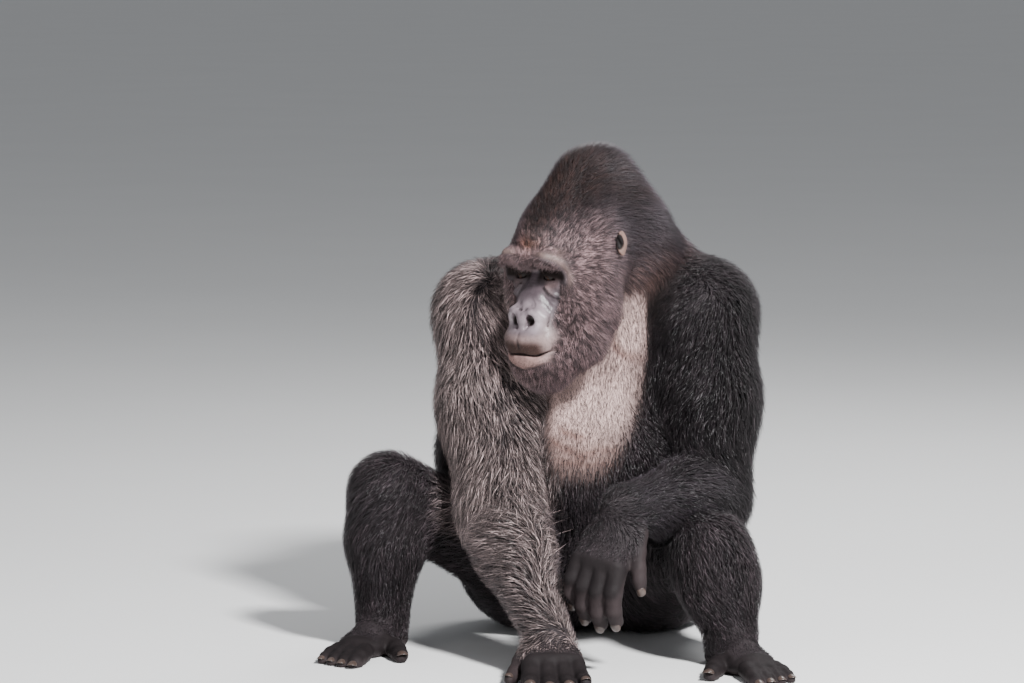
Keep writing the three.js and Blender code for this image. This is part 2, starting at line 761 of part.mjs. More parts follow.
// The same mesh with each corner moved outward along its normal.
function grown({ positions, faces }, by) {
  const normals = positions.map(() => 0);
  const [a, b, c] = [new THREE.Vector3(), new THREE.Vector3(), new THREE.Vector3()];
  for (let f = 0; f < faces.length; f += 3) {
    [a, b, c].forEach((v, i) => v.fromArray(positions, 3 * faces[f + i]));
    const n = b.sub(a).cross(c.sub(a)).normalize();
    for (let i = 0; i < 3; i++) n.toArray().forEach((v, axis) => (normals[3 * faces[f + i] + axis] += v));
  }
  const out = positions.map((v, i) => {
    const at = i - (i % 3);
    return v + (by * normals[i]) / length(normals[at], normals[at + 1], normals[at + 2]);
  });
  return { positions: out, faces };
}

// Parts a solid in two along the surface where the field is zero: [inside, outside].
function partByField(solid, field, grid = CUT_GRID, within = boxOf(solid)) {
  const cut = thin(meshField(field, within.clone().expandByScalar(grid), grid), CUT_TRIANGLES);
  return [largest(solid.intersect(solidOf(cut))), largest(solid.subtract(solidOf(grown(cut, GAP))))];
}

// Parts a solid along the plane through a point with a normal: [ahead of it, behind it].
function partByPlane(solid, at, normal) {
  const n = new THREE.Vector3(...normal).normalize();
  const size = 2400;
  const turn = new THREE.Quaternion().setFromUnitVectors(new THREE.Vector3(0, 0, 1), n);
  const block = (shift) => {
    const centre = new THREE.Vector3(...at).addScaledVector(n, size / 2 + shift);
    return solidOfGeometry(
      new THREE.BoxGeometry(size, size, size),
      new THREE.Matrix4().compose(centre, turn, new THREE.Vector3(1, 1, 1)),
    );
  };
  return [largest(solid.intersect(block(GAP / 2))), largest(solid.subtract(block(-GAP / 2)))];
}

// Keeps more triangles on the face, ears, hands and feet.
function detail(x, y, z) {
  const eyes = Math.hypot(x - EYE_SIDE + 20, y - EYE_FRONT, z - EYE_HEIGHT + 60);
  const ends = [...Object.values(HANDS).map((h) => h.centre), ...Object.values(FEET).map((f) => f.centre)];
  if (eyes < 130) return 14;
  if (ends.some((c) => Math.hypot(x - c[0], y - c[1], z - c[2]) < 150)) return 8;
  return eyes < 260 ? 3 : 1;
}

const bodyBox = new THREE.Box3(new THREE.Vector3(-480, -640, -20), new THREE.Vector3(420, 380, 960));
const flesh = thin(meshField(wholeBody, bodyBox, GRID), BODY_TRIANGLES, detail);
const floorBlock = solidOfGeometry(
  new THREE.BoxGeometry(3000, 3000, 400),
  new THREE.Matrix4().makeTranslation(0, 0, -200),
);
let rest = largest(solidOf(flesh).subtract(floorBlock));

const solids = {};

// Eyeballs sit in the sockets that they cut.
for (const [name, side] of [["right", -1], ["left", 1]]) {
  const centre = new THREE.Vector3((side * EYE_APART) / 2, 0, 0).applyMatrix4(headMatrix);
  const ball = (radius) =>
    solidOfGeometry(new THREE.SphereGeometry(radius, 14, 9), new THREE.Matrix4().setPosition(centre));
  solids[`eye_${name}`] = ball(EYE_RADIUS);
  rest = rest.subtract(ball(EYE_RADIUS + GAP + 0.4));
}

// Each limb leaves the core where its own surface comes nearer than the others'.
for (const name of ["right", "left"]) {
  const side = ARMS[name].side;
  const other = name === "right" ? "left" : "right";
  const nearer = (part, ...others) => (x, y, z) =>
    part(x, y, z) - Math.min(...others.map((f) => f(x, y, z)));
  const ownArm = nearer(arms[name], core, legs[name], legs[other], arms[other]);
  const [armSolid, afterArm] = partByField(rest, ownArm);
  const [legSolid, afterLeg] = partByField(afterArm, nearer(legs[name], core, legs[other]));
  const earField = nearer(ears[name], core);
  const earBox = new THREE.Box3().setFromCenterAndSize(
    new THREE.Vector3(...ears[name].centre),
    new THREE.Vector3(64, 64, 72),
  );
  const [earSolid, afterEar] = partByField(afterLeg, earField, 5, earBox);
  solids[`ear_${name}`] = earSolid;
  rest = afterEar;

  const { elbow, wrist } = ARMS[name];
  const shoulder = shoulderAt(side);
  const upper = new THREE.Vector3(...elbow).sub(new THREE.Vector3(...shoulder)).normalize();
  const lower = new THREE.Vector3(...wrist).sub(new THREE.Vector3(...elbow)).normalize();
  const [farArm, upperArm] = partByPlane(armSolid, elbow, upper.clone().add(lower).toArray());
  const [hand, forearm] = partByPlane(farArm, wrist, lower.toArray());
  solids[`upper_arm_${name}`] = upperArm;
  solids[`forearm_${name}`] = forearm;
  solids[`hand_${name}`] = hand;

  const { knee, ankle } = LEGS[name];
  const thighLine = new THREE.Vector3(...knee).sub(new THREE.Vector3(...hipAt(side))).normalize();
  const shinLine = new THREE.Vector3(...ankle).sub(new THREE.Vector3(...knee)).normalize();
  const [farLeg, thigh] = partByPlane(legSolid, knee, thighLine.clone().add(shinLine).toArray());
  const [foot, shin] = partByPlane(farLeg, [ankle[0], ankle[1], ankle[2] + 14], [0, 0, -1]);
  solids[`thigh_${name}`] = thigh;
  solids[`lower_leg_${name}`] = shin;
  solids[`foot_${name}`] = foot;
}

const headField = (x, y, z) => head(x, y, z) - Math.min(neck(x, y, z), trunk(x, y, z)) - 10;
const [headSolid, body] = partByField(rest, headField);
const [neckSolid, torso] = partByField(body, (x, y, z) => neck(x, y, z) - chest(x, y, z) + 14);
const [chestSolid, bellySolid] = partByPlane(torso, [0, 0, 400], [0, -0.12, 1]);
Object.assign(solids, { head: headSolid, neck: neckSolid, chest: chestSolid, belly: bellySolid });

// ---- The group ----------------------------------------------------------------------------------

const COAT = new THREE.MeshStandardMaterial({ color: 0x2b2527, roughness: 0.75, metalness: 0 });
const FACE = new THREE.MeshStandardMaterial({ color: 0x3a3335, roughness: 0.5, metalness: 0 });
const EYE = new THREE.MeshStandardMaterial({ color: 0x2a1408, roughness: 0.1, metalness: 0 });
const SKIN = new THREE.MeshStandardMaterial({ color: 0x2e282a, roughness: 0.6, metalness: 0 });

function materialFor(name) {
  if (name.startsWith("eye")) return EYE;
  if (name.startsWith("ear")) return FACE;
  return name.startsWith("hand") || name.startsWith("foot") ? SKIN : COAT;
}

// The triangles of a solid, as flat lists.
function meshOf(solid) {
  const { vertProperties, triVerts, numProp } = solid.getMesh();
  const positions = new Float64Array((vertProperties.length / numProp) * 3);
  for (let i = 0; i < positions.length / 3; i++)
    positions.set(vertProperties.subarray(i * numProp, i * numProp + 3), 3 * i);
  return { positions, faces: Int32Array.from(triVerts) };
}

// The cuts leave slivers along their rims, which are drawn together.
function nodeOf(name, solid) {
  const whole = meshOf(solid);
  const { positions, faces } = name.startsWith("eye") ? whole : thin(whole, 0, () => 1, CUT_SLACK);
  const geometry = new THREE.BufferGeometry()
    .setAttribute("position", new THREE.Float32BufferAttribute(positions, 3))
    .setIndex([...faces]);
  geometry.computeVertexNormals();
  const mesh = new THREE.Mesh(geometry, materialFor(name));
  mesh.name = name;
  return mesh;
}

const gorilla = new THREE.Group();
for (const [name, solid] of Object.entries(solids)) gorilla.add(nodeOf(name, solid));

// The origin is on the floor, under the middle of the whole animal.
const bounds = new THREE.Box3().setFromObject(gorilla);
gorilla.position.set(-(bounds.min.x + bounds.max.x) / 2, -(bounds.min.y + bounds.max.y) / 2, -bounds.min.z);

export default gorilla;
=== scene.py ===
import math

import bmesh
import bpy
import numpy as np
from bpy.props import FloatProperty, FloatVectorProperty, IntProperty, PointerProperty
from mathutils import Euler, Matrix, Vector


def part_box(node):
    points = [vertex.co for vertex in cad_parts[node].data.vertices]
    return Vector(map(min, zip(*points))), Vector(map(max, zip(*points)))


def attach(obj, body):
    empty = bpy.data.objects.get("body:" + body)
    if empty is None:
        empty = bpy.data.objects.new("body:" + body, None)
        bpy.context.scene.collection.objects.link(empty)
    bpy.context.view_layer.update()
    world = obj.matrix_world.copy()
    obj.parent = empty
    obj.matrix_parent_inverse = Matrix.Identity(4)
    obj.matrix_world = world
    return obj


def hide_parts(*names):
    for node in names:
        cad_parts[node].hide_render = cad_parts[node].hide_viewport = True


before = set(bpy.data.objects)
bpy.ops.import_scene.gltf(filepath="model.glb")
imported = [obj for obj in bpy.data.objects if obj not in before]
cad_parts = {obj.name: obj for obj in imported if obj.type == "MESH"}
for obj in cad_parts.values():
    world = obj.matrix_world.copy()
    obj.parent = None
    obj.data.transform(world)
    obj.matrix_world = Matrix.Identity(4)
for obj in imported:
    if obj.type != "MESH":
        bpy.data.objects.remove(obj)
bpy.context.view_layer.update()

bl_info = {
    "name": "Sitting silverback",
    "version": (1, 0, 0),
    "blender": (4, 5, 0),
    "location": "View3D > Sidebar > Gorilla",
    "description": "Skin, coat, eyes and nails of a life-size sitting gorilla",
    "category": "Object",
}

# ---- Frames --------------------------------------------------------------------------------------
# Shapes are worked out in millimetres. The body's frame has the floor at 0, the chest towards -Y
# and the animal's own left towards +X. The head's frame has the mid-point of the eyes at its
# origin and the face towards -Y. The eyes tie both to the frame that was loaded.

MM = 0.001
EYES = np.array([-106.0, -232.0, 695.0])
EYE_RADIUS = 12.5
EYE_X = 34.0
HEAD_TURN = -45.0
HEAD_NOD = 7.0


def box_middle(node):
    low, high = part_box(node)
    return (np.array(low) + np.array(high)) / 2


BODY_ORIGIN = (box_middle("eye_left") + box_middle("eye_right")) / 2 / MM - EYES


def turned(axis, degrees):
    return np.array(Matrix.Rotation(math.radians(degrees), 4, axis))


def moved(at):
    return np.array(Matrix.Translation(at))


HEAD = moved(EYES) @ turned("Z", HEAD_TURN) @ turned("X", HEAD_NOD)


def through(matrix, points):
    return points @ matrix[:3, :3].T + matrix[:3, 3]


def into(matrix, points):
    return through(np.linalg.inv(matrix), points)


def to_scene(points):
    return (points + BODY_ORIGIN) * MM


def to_body(points):
    return points / MM - BODY_ORIGIN


def unit(v):
    return v / np.maximum(np.linalg.norm(v, axis=-1, keepdims=True), 1e-9)


def smooth(low, high, x):
    t = np.clip((x - low) / (high - low), 0, 1)
    return t * t * (3 - 2 * t)


# ---- Signed distances: each shape takes points (n, 3) and gives n distances, negative inside -----


def lump(at, radii, turn=(0, 0, 0)):
    """An ellipsoid, turned by degrees about X, Y and Z."""
    at, radii = np.array(at, float), np.array(radii, float)
    turned_by = np.array(Euler([math.radians(a) for a in turn], "XYZ").to_matrix())

    def distance(p):
        q = (p - at) @ turned_by / radii
        k0 = np.sqrt(np.einsum("ij,ij->i", q, q))
        q /= radii
        k1 = np.sqrt(np.einsum("ij,ij->i", q, q))
        return k0 * (k0 - 1) / np.maximum(k1, 1e-9)

    return distance


def limb(a, b, ra, rb):
    """A round-ended limb from a to b, tapering from ra to rb."""
    a, b = np.array(a, float), np.array(b, float)
    along = b - a
    squared = along @ along

    def distance(p):
        t = np.clip((p - a) @ along / squared, 0, 1)
        q = p - a - t[:, None] * along
        return np.sqrt(np.einsum("ij,ij->i", q, q)) - (ra + (rb - ra) * t)

    return distance


def block(at, half, edge):
    """A box with rounded edges."""

    def distance(p):
        q = np.abs(p - np.array(at, float)) - half + edge
        return np.linalg.norm(np.maximum(q, 0), axis=1) + np.minimum(q.max(1), 0) - edge

    return distance


def smooth_min(a, b, k):
    h = np.maximum(k - np.abs(a - b), 0) / k
    return np.minimum(a, b) - h * h * k / 4


def blend(k, *shapes):
    def distance(p):
        d = shapes[0](p)
        for s in shapes[1:]:
            d = smooth_min(d, s(p), k)
        return d

    return distance


def carve(body, k, *tools):
    def distance(p):
        d = body(p)
        for tool in tools:
            d = -smooth_min(-d, tool(p), k)
        return d

    return distance


def pair(side):
    return lambda p: side(np.column_stack([np.abs(p[:, 0]), p[:, 1:]]))


def placed(shape, matrix):
    return lambda p: shape(into(matrix, p))


def near(shape, centre, reach):
    """The shape inside a ball, and outside it the distance to the ball, which is quicker."""
    centre = np.array(centre, float)

    def distance(p):
        d = np.linalg.norm(p - centre, axis=1) - reach
        close = d < 40
        d[close] = shape(p[close])
        return d

    return distance


def joined(core, part, joint, reach, k):
    """Two shapes with a fillet of k that fades out within reach of the joint that they share."""
    joint = np.array(joint, float)

    def distance(p):
        away = np.linalg.norm(p - joint, axis=1) / reach
        fillet = np.maximum(2, k * np.sqrt(np.maximum(0, 1 - away)))
        return smooth_min(core(p), part(p), fillet)

    return distance


# ---- The shape of the body, to the tips of the coat ----------------------------------------------


def skull():
    return blend(
        26,
        lump([0, 98, 50], [96, 116, 98]),
        lump([0, 168, 102], [66, 114, 112], [-4, 0, 0]),
        limb([0, 18, 66], [0, 126, 158], 40, 47),
        pair(lump([70, 80, 8], [46, 76, 72])),
        lump([0, 205, 40], [98, 100, 112]),
    )


def cheeks():
    return blend(
        24,
        pair(lump([72, 58, -58], [48, 66, 84], [8, 0, -8])),
        pair(limb([66, 16, -18], [90, 60, -8], 20, 28)),
        pair(limb([28, -8, -158], [72, 38, -130], 38, 46)),
        lump([0, 52, -112], [74, 76, 68]),
    )


def brow():
    return blend(
        10,
        pair(limb([0, -23, 30], [44, -22, 35], 16, 16.5)),
        pair(limb([44, -22, 35], [76, 6, 20], 16.5, 15)),
        pair(limb([76, 6, 20], [75, 14, -12], 15, 12)),
    )


def muzzle():
    return blend(
        15,
        lump([0, -4, -88], [58, 44, 54]),
        limb([0, 6, -6], [0, -27, -74], 14, 19),
        pair(lump([20, -38, -80], [19, 18, 15])),
        lump([0, -28, -114], [60, 42, 31]),
        lump([0, -25, -150], [56, 40, 28]),
        lump([0, -2, -176], [62, 50, 46]),
    )


SOCKET = pair(lump([36, -24, 4], [24, 26, 14], [0, 0, -20]))
NOSTRIL = pair(lump([14, -56, -84], [9, 11, 7]))
MOUTH = lump([0, -56, -133], [54, 32, 2.6])
plain_head = blend(18, skull(), cheeks(), brow(), muzzle())
head_shape = carve(plain_head, 6, SOCKET, NOSTRIL, MOUTH)


def ear_frame(side):
    mirror = np.diag([side, 1.0, 1.0, 1.0])
    return HEAD @ mirror @ moved([112, 100, 44]) @ turned("Z", -8)


neck = blend(
    50,
    limb([20, -46, 726], [4, 60, 640], 132, 180),
    limb([30, -60, 690], [10, -20, 600], 112, 146),
    limb([52, 40, 712], [176, 8, 632], 92, 76),
    limb([-30, 70, 680], [-160, 30, 606], 90, 72),
)
chest = blend(
    60,
    lump([0, 76, 508], [248, 196, 196]),
    pair(lump([150, 44, 592], [140, 130, 100], [0, 12, 0])),
    lump([0, 150, 585], [190, 110, 120]),
    pair(lump([82, -62, 500], [100, 74, 108], [0, 0, 10])),
)
belly = blend(
    60,
    lump([-6, 28, 340], [296, 228, 196]),
    lump([0, 84, 190], [266, 214, 182]),
    pair(lump([110, 126, 110], [140, 128, 122])),
)

SHOULDERS = {-1: np.array([-202.0, -44, 606]), 1: np.array([202.0, -44, 606])}
ELBOWS = {-1: np.array([-174.0, -206, 262]), 1: np.array([202.0, -142, 276])}
WRISTS = {-1: np.array([-88.0, -424, 70]), 1: np.array([46.0, -368, 290])}
HIPS = {-1: np.array([-98.0, 40, 126]), 1: np.array([98.0, 40, 126])}
KNEES = {-1: np.array([-378.0, -150, 290]), 1: np.array([204.0, -280, 200])}
ANKLES = {-1: np.array([-390.0, -128, 66]), 1: np.array([238.0, -312, 62])}
TOES = {-1: np.array([-0.34, -1, 0]), 1: np.array([0.3, -1, 0])}
INWARD = {-1: 10, 1: 38}


def arm_shape(side):
    shoulder, elbow, wrist = SHOULDERS[side], ELBOWS[side], WRISTS[side]
    biceps = shoulder + (elbow - shoulder) * 0.45
    bulge = elbow + (wrist - elbow) * 0.3
    return blend(
        34,
        lump(shoulder, [98, 112, 100]),
        lump(shoulder + [-side * INWARD[side], -50, -8], [70, 68, 84]),
        limb(shoulder, biceps, 96, 96),
        limb(biceps, elbow, 96, 82),
        lump(biceps + [0, 24, -16], [102, 94, 140], [-24, 0, 0]),
        limb(elbow, bulge, 82, 76),
        limb(bulge, wrist, 76, 46),
    )


def leg_shape(side):
    hip, knee, ankle = HIPS[side], KNEES[side], ANKLES[side]
    calf = knee + (ankle - knee) * 0.4
    return blend(
        34,
        lump(hip, [120, 124, 118]),
        limb(hip, knee, 106, 70),
        limb(knee, calf, 73, 73),
        limb(calf, ankle, 73, 52),
    )


def digit_points(x, length, radius, knuckle, curl, heading):
    """The joints of a finger or toe, from its knuckle to its tip, as rows of x, y, z, radius."""
    at = np.array([x, knuckle[1], knuckle[2]], float)
    angle = 0.0
    rows = [[*at, radius * 1.12]]
    for i, share in enumerate((0.44, 0.32, 0.24)):
        angle += math.radians(curl[i])
        flat = math.cos(angle) * share * length
        drop = math.sin(angle) * share * length
        at = at + [math.sin(heading) * flat, -math.cos(heading) * flat, -drop]
        rows.append([*at, radius * (1 - 0.12 * i)])
    return np.array(rows)


def digit(rows):
    bones = [limb(a[:3], b[:3], a[3], b[3]) for a, b in zip(rows, rows[1:])]
    return blend(6, *bones)


FINGERS = ((39, 108, 16.5), (13, 118, 17), (-13, 112, 16.5), (-38, 92, 15))


def finger_rows(curl, thumb_curl):
    rows = [
        digit_points(x, length, radius, (0, -104, 0), curl, math.radians(x * 0.16))
        for x, length, radius in FINGERS
    ]
    return rows + [digit_points(54, 66, 14, (0, -66, -16), thumb_curl, math.radians(24))]


def hand_shape(curl, thumb_curl):
    *fingers, thumb = [digit(rows) for rows in finger_rows(curl, thumb_curl)]
    palm = blend(
        14,
        lump([0, -58, -2], [57, 68, 29]),
        limb([0, 8, 0], [0, -40, -2], 40, 34),
        limb([-34, -100, 0], [34, -106, 0], 19, 20),
        limb([36, -30, -10], [50, -62, -14], 25, 18),
    )
    return blend(5, blend(8, palm, thumb), *fingers)


def toe_rows():
    rows = []
    for i, x in enumerate((-36, -17, 2, 21)):
        knuckle = (0, -134 - 4 * i, 20)
        heading = math.radians(x * 0.2)
        rows.append(digit_points(x, 62 + 6 * i, 12 + 0.8 * i, knuckle, (6, 6, 2), heading))
    return rows + [digit_points(44, 88, 17, (0, -66, 20), (4, 2, 0), math.radians(32))]


def foot_shape():
    *toes, great = [digit(rows) for rows in toe_rows()]
    sole = blend(
        18,
        lump([0, 28, 24], [38, 50, 36]),
        limb([0, 10, 44], [0, -60, 34], 44, 34),
        lump([-2, -84, 24], [48, 66, 26]),
    )
    return blend(6, blend(9, sole, great), *toes)


def frame_at(origin, forward, up, mirror):
    y = -unit(np.array(forward, float))
    z = np.array(up, float)
    z = unit(z - z @ y * y)
    m = np.eye(4)
    m[:3, 0], m[:3, 1], m[:3, 2], m[:3, 3] = np.cross(y, z), y, z, origin
    return m @ np.diag([-1.0 if mirror else 1.0, 1, 1, 1])


# How each joint bends, in degrees: the fingers', then the thumb's. The right hand lies on the floor.
CURLS = {-1: ((14, -25.5, -1), (14, -14, -10)), 1: ((16, 26, 26), (12, 14, 14))}
HAND_FRAMES = {
    -1: frame_at([-88, -402, 62], [0.08, -1, -0.24], [0, 0, 1], True),
    1: frame_at([42, -372, 288], [-0.4, -0.42, -0.82], [-0.4, -0.76, 0.5], False),
}
FOOT_FRAMES = {
    s: frame_at([ANKLES[s][0], ANKLES[s][1], -4], TOES[s], [0, 0, 1], s > 0) for s in (-1, 1)
}


def arm_and_hand(side):
    hand = near(placed(hand_shape(*CURLS[side]), HAND_FRAMES[side]), WRISTS[side], 250)
    return joined(arm_shape(side), hand, WRISTS[side], 90, 30)


def leg_and_foot(side):
    foot = near(placed(foot_shape(), FOOT_FRAMES[side]), ANKLES[side], 250)
    return joined(leg_shape(side), foot, ANKLES[side], 90, 30)


def body_shape(head):
    """The whole body, with this head."""
    trunk = blend(40, blend(50, chest, belly), neck)
    core = joined(trunk, placed(head, HEAD), [20, -30, 700], 260, 46)
    for side in (-1, 1):
        core = joined(core, arm_and_hand(side), SHOULDERS[side], 190, 60)
        core = joined(core, leg_and_foot(side), HIPS[side], 230, 60)
    return core


# ---- The bare face: lids, folds and wrinkles, in the head's frame --------------------------------

# Each fold is a run of points, then its half width and its height; a negative height is a groove.
FOLDS = (
    (((16, -16, -3), (27, -19, -13), (42, -18, -27), (58, -8, -39)), 3.6, 4.8),
    (((22, -14, 0), (33, -18, -8), (47, -16, -21), (62, -6, -33)), 2.6, -3.0),
    (((12, -20, -12), (22, -24, -24), (36, -22, -37), (53, -12, -48)), 2.4, -2.4),
    (((60, -8, -45), (52, -22, -62), (44, -32, -84), (40, -38, -100)), 3.0, -4.6),
    (((26, -24, 15), (38, -24, 18), (52, -14, 12)), 2.6, -2.2),
    (((4, -46, -58), (22, -42, -56), (41, -28, -70), (42, -28, -92)), 2.8, -3.0),
    (((0, -50, -99), (16, -47, -99), (34, -38, -98)), 3.0, -2.6),
    (((0, -60, -100), (0, -70, -128)), 4.0, -1.8),
    (((16, -62, -141), (32, -54, -146), (48, -38, -143)), 5.0, 1.2),
)


# Seen from in front: the roll at the root of the neck, and the creases where the chest folds onto
# the belly, drawn only as painted shade in the skin's colour. Each is a run of points, then its
# half width.
CHEST_CREASE_SHADES = (
    (((24, 0, 580), (34, 0, 552), (56, 0, 536), (80, 0, 533)), 8),
    (((-78, 0, 384), (-30, 0, 362), (34, 0, 372)), 7),
    (((-70, 0, 352), (-10, 0, 342), (50, 0, 352)), 7),
    (((-60, 0, 404), (-24, 0, 392)), 6),
)


def fold_height(p, points, width, height):
    """The height of a fold at points p: a soft ridge along a run of points."""
    d = np.min([limb(a, b, 0, 0)(p) for a, b in zip(points, points[1:])], axis=0)
    return height * np.exp(-np.square(d / width))


def run(points, k=5):
    """Limbs through points given as (x, y, z, radius)."""
    return blend(k, *[limb(a[:3], b[:3], a[3], b[3]) for a, b in zip(points, points[1:])])


def nose():
    """The bridge, its flanks, the wings that curl round the nostrils, and the septum."""
    flank = run([(6, 2, -10, 11), (16, -16, -40, 14), (26, -28, -68, 15)], 8)
    wing = run([
        (13, -40, -60, 8), (28, -38, -63, 9.5), (40, -31, -75, 9.5),
        (36, -33, -90, 8), (20, -43, -97, 6),
    ])
    rim = run([
        (6, -49, -66, 5), (20, -46, -62, 6), (31, -41, -70, 6.5),
        (30, -41, -85, 6), (15, -47, -95, 4.5),
    ], 6)
    body = blend(
        6,
        blend(10, limb([0, 6, -2], [0, -28, -52], 13, 14), pair(flank)),
        limb([0, -30, -56], [0, -48, -74], 13, 10.5),
        limb([0, -48, -74], [0, -48, -95], 9.5, 7),
        pair(wing),
    )
    return blend(7, body, pair(rim))


def lid_ball():
    return pair(lump([EYE_X + 1, 1, 0.5], [EYE_RADIUS + 8, EYE_RADIUS + 2, EYE_RADIUS + 3]))


def eye_slit():
    """What opens between the lids: an almond that is lower at its inner corner."""
    return pair(lump([EYE_X + 1.5, -13, -4.2], [16.5, 11, 3.6], [0, 6, 0]))


def wrinkles(p):
    """Fine creases that run down the sides of the nose and across the bridge."""
    x, z = np.abs(p[:, 0]), p[:, 2]
    side = smooth(7, 18, x) * smooth(54, 42, x) * smooth(-30, -40, z) * smooth(-78, -62, z)
    across = smooth(14, 6, x) * smooth(-40, -30, z) * smooth(6, -4, z)
    wander = 2.2 * np.sin(z * 0.11 + x * 0.07) + 1.2 * np.sin(x * 0.31)
    fan = np.sin((z + 0.95 * x + wander) * 2 * np.pi / 8.4)
    return side * 0.34 * fan + across * 0.3 * np.sin((z + wander) * 2 * np.pi / 5.6)


def muzzle_skin():
    return blend(
        20,
        lump([0, -4, -88], [60, 40, 54]),
        pair(lump([30, 8, -32], [30, 24, 32])),
        lump([0, -26, -113], [61, 42, 32]),
        lump([0, -24, -150], [57, 40, 28]),
        lump([0, -2, -176], [62, 48, 46]),
    )


def mouth_line():
    """The line between the lips: it dips beside the middle and rises to the corners."""

    def distance(p):
        x = np.abs(p[:, 0])
        level = -135 - 2.5 * smooth(4, 28, x) + 9 * smooth(30, 58, x)
        levelled = np.column_stack([p[:, 0], p[:, 1], p[:, 2] - level])
        return np.maximum(lump([0, -52, 0], [61, 34, 2.2])(levelled), x - 57)

    return distance


def face_shape():
    plain = carve(blend(16, skull(), cheeks(), brow(), muzzle_skin()), 8, SOCKET)
    formed = blend(6, blend(9, plain, lid_ball()), nose())
    open_eyed = carve(formed, 1.5, eye_slit())
    hole = lump([20, -54, -74], [8.8, 18, 10.4], [14, 26, 18])
    nostrils = pair(blend(3, hole, lump([12, -56, -85], [4, 13, 7], [14, 22, 12])))
    holed = carve(open_eyed, 2.5, nostrils, mouth_line())

    def distance(p):
        d = holed(p)
        close = np.abs(d) < 9
        right = np.column_stack([np.abs(p[close, 0]), p[close, 1:]])
        relief = wrinkles(right)
        for points, width, height in FOLDS:
            relief += fold_height(right, points, width, height)
        d[close] -= relief
        return d

    return distance


def detailed_head():
    rough, fine = head_shape, face_shape()

    def distance(p):
        d = rough(p)
        close = (np.linalg.norm(p - [0, -10, -55], axis=1) < 165) & (np.abs(d) < 30)
        d[close] = fine(p[close])
        return d

    return distance


# ---- Where the skin is bare: 1 on bare skin, 0 under the coat ------------------------------------


def eye_ring(q):
    """How far a point is from the middle of its eye socket: 0.88 along the bare arch of the brow."""
    return np.hypot((np.abs(q[:, 0]) - 38) / 50, q[:, 2] / 52)


def bare_face(q):
    """In the head's frame: the nose, lips and eye sockets, and less so the arch of each brow."""
    x, y, z = np.abs(q[:, 0]), q[:, 1], q[:, 2]
    levels = [-168, -157, -149, -140, -126, -110, -96, -84, -60, -40, -20, -6]
    half = np.interp(z, levels, [-20, 24, 44, 50, 54, 59, 55, 48, 48, 53, 57, 60])
    soft = 4 + 14 * smooth(-134, -154, z)
    lower = smooth(-soft, soft, half - x) * smooth(28, 14, z)
    e = eye_ring(q)
    socket = smooth(0.86, 0.7, e) * smooth(-20, -4, z)
    arch = 0.46 * smooth(1.06, 0.92, e) * smooth(10, 40, x) * smooth(-26, -2, z)
    return np.maximum.reduce([lower, socket, arch]) * smooth(44, 26, y)


def arm_distance(p, side):
    shoulder, elbow = SHOULDERS[side], ELBOWS[side]
    front = limb(shoulder + [-side * INWARD[side], -50, 16], elbow, 72, 80)(p)
    upper, fore = limb(shoulder, elbow, 94, 88)(p), limb(elbow, WRISTS[side], 82, 56)(p)
    return np.minimum.reduce([upper, front, fore])


def bare_chest(p):
    x, y, z = p.T
    left = np.interp(z, [320, 383, 421, 471, 570], [0, 24, 44, 62, 100])
    wide = smooth(44, -28, x - left) * smooth(-114, -72, x) * smooth(-20, -70, y)
    bare = wide * smooth(290, 390, z) * smooth(704, 610, z)
    some = bare > 0
    q = p[some]
    clear_of_arms = smooth(-8, 24, np.minimum(arm_distance(q, -1), arm_distance(q, 1)))
    bare[some] *= clear_of_arms * smooth(6, 22, head_shape(into(HEAD, q)))
    return bare


def bare_ears(p):
    ears = [(into(ear_frame(s), p) - [6, 4, 0]) / [12, 15, 25] for s in (-1, 1)]
    return smooth(1.06, 0.92, np.min(np.linalg.norm(ears, axis=2), axis=0))


def within(q, middle, radii):
    return smooth(1.15, 0.95, np.linalg.norm((q - middle) / radii, axis=1))


def bare_hand(q):
    """Fingers and palm, in the hand's frame: the back of the hand is hairy to the knuckles."""
    beyond = smooth(-98, -112, q[:, 1])
    palm = smooth(2, -10, q[:, 2]) * smooth(4, -24, q[:, 1])
    return np.maximum(beyond, palm) * within(q, [0, -110, -30], [84, 126, 84])


def bare_palm(p, side):
    """The same for points of the body, but not on the other forearm, close to the fingers."""
    other_forearm = limb(ELBOWS[-side], WRISTS[-side], 80, 52)(p)
    return bare_hand(into(HAND_FRAMES[side], p)) * smooth(-6, 4, other_forearm)


def bare_foot(q):
    beyond = smooth(-112, -124, q[:, 1])
    great = smooth(26, 38, q[:, 0]) * smooth(-60, -76, q[:, 1])
    sole = smooth(24, 14, q[:, 2])
    return np.maximum.reduce([beyond, great, sole]) * within(q, [8, -80, 16], [92, 140, 58])


def bareness(p):
    bare = np.maximum.reduce([bare_face(into(HEAD, p)), bare_chest(p), bare_ears(p)])
    for s in (-1, 1):
        bare = np.maximum(bare, bare_palm(p, s))
        bare = np.maximum(bare, bare_foot(into(FOOT_FRAMES[s], p)))
    return bare


# ---- How the hair lies: each guide runs from a to b, with flow, length and depth at both ends ----

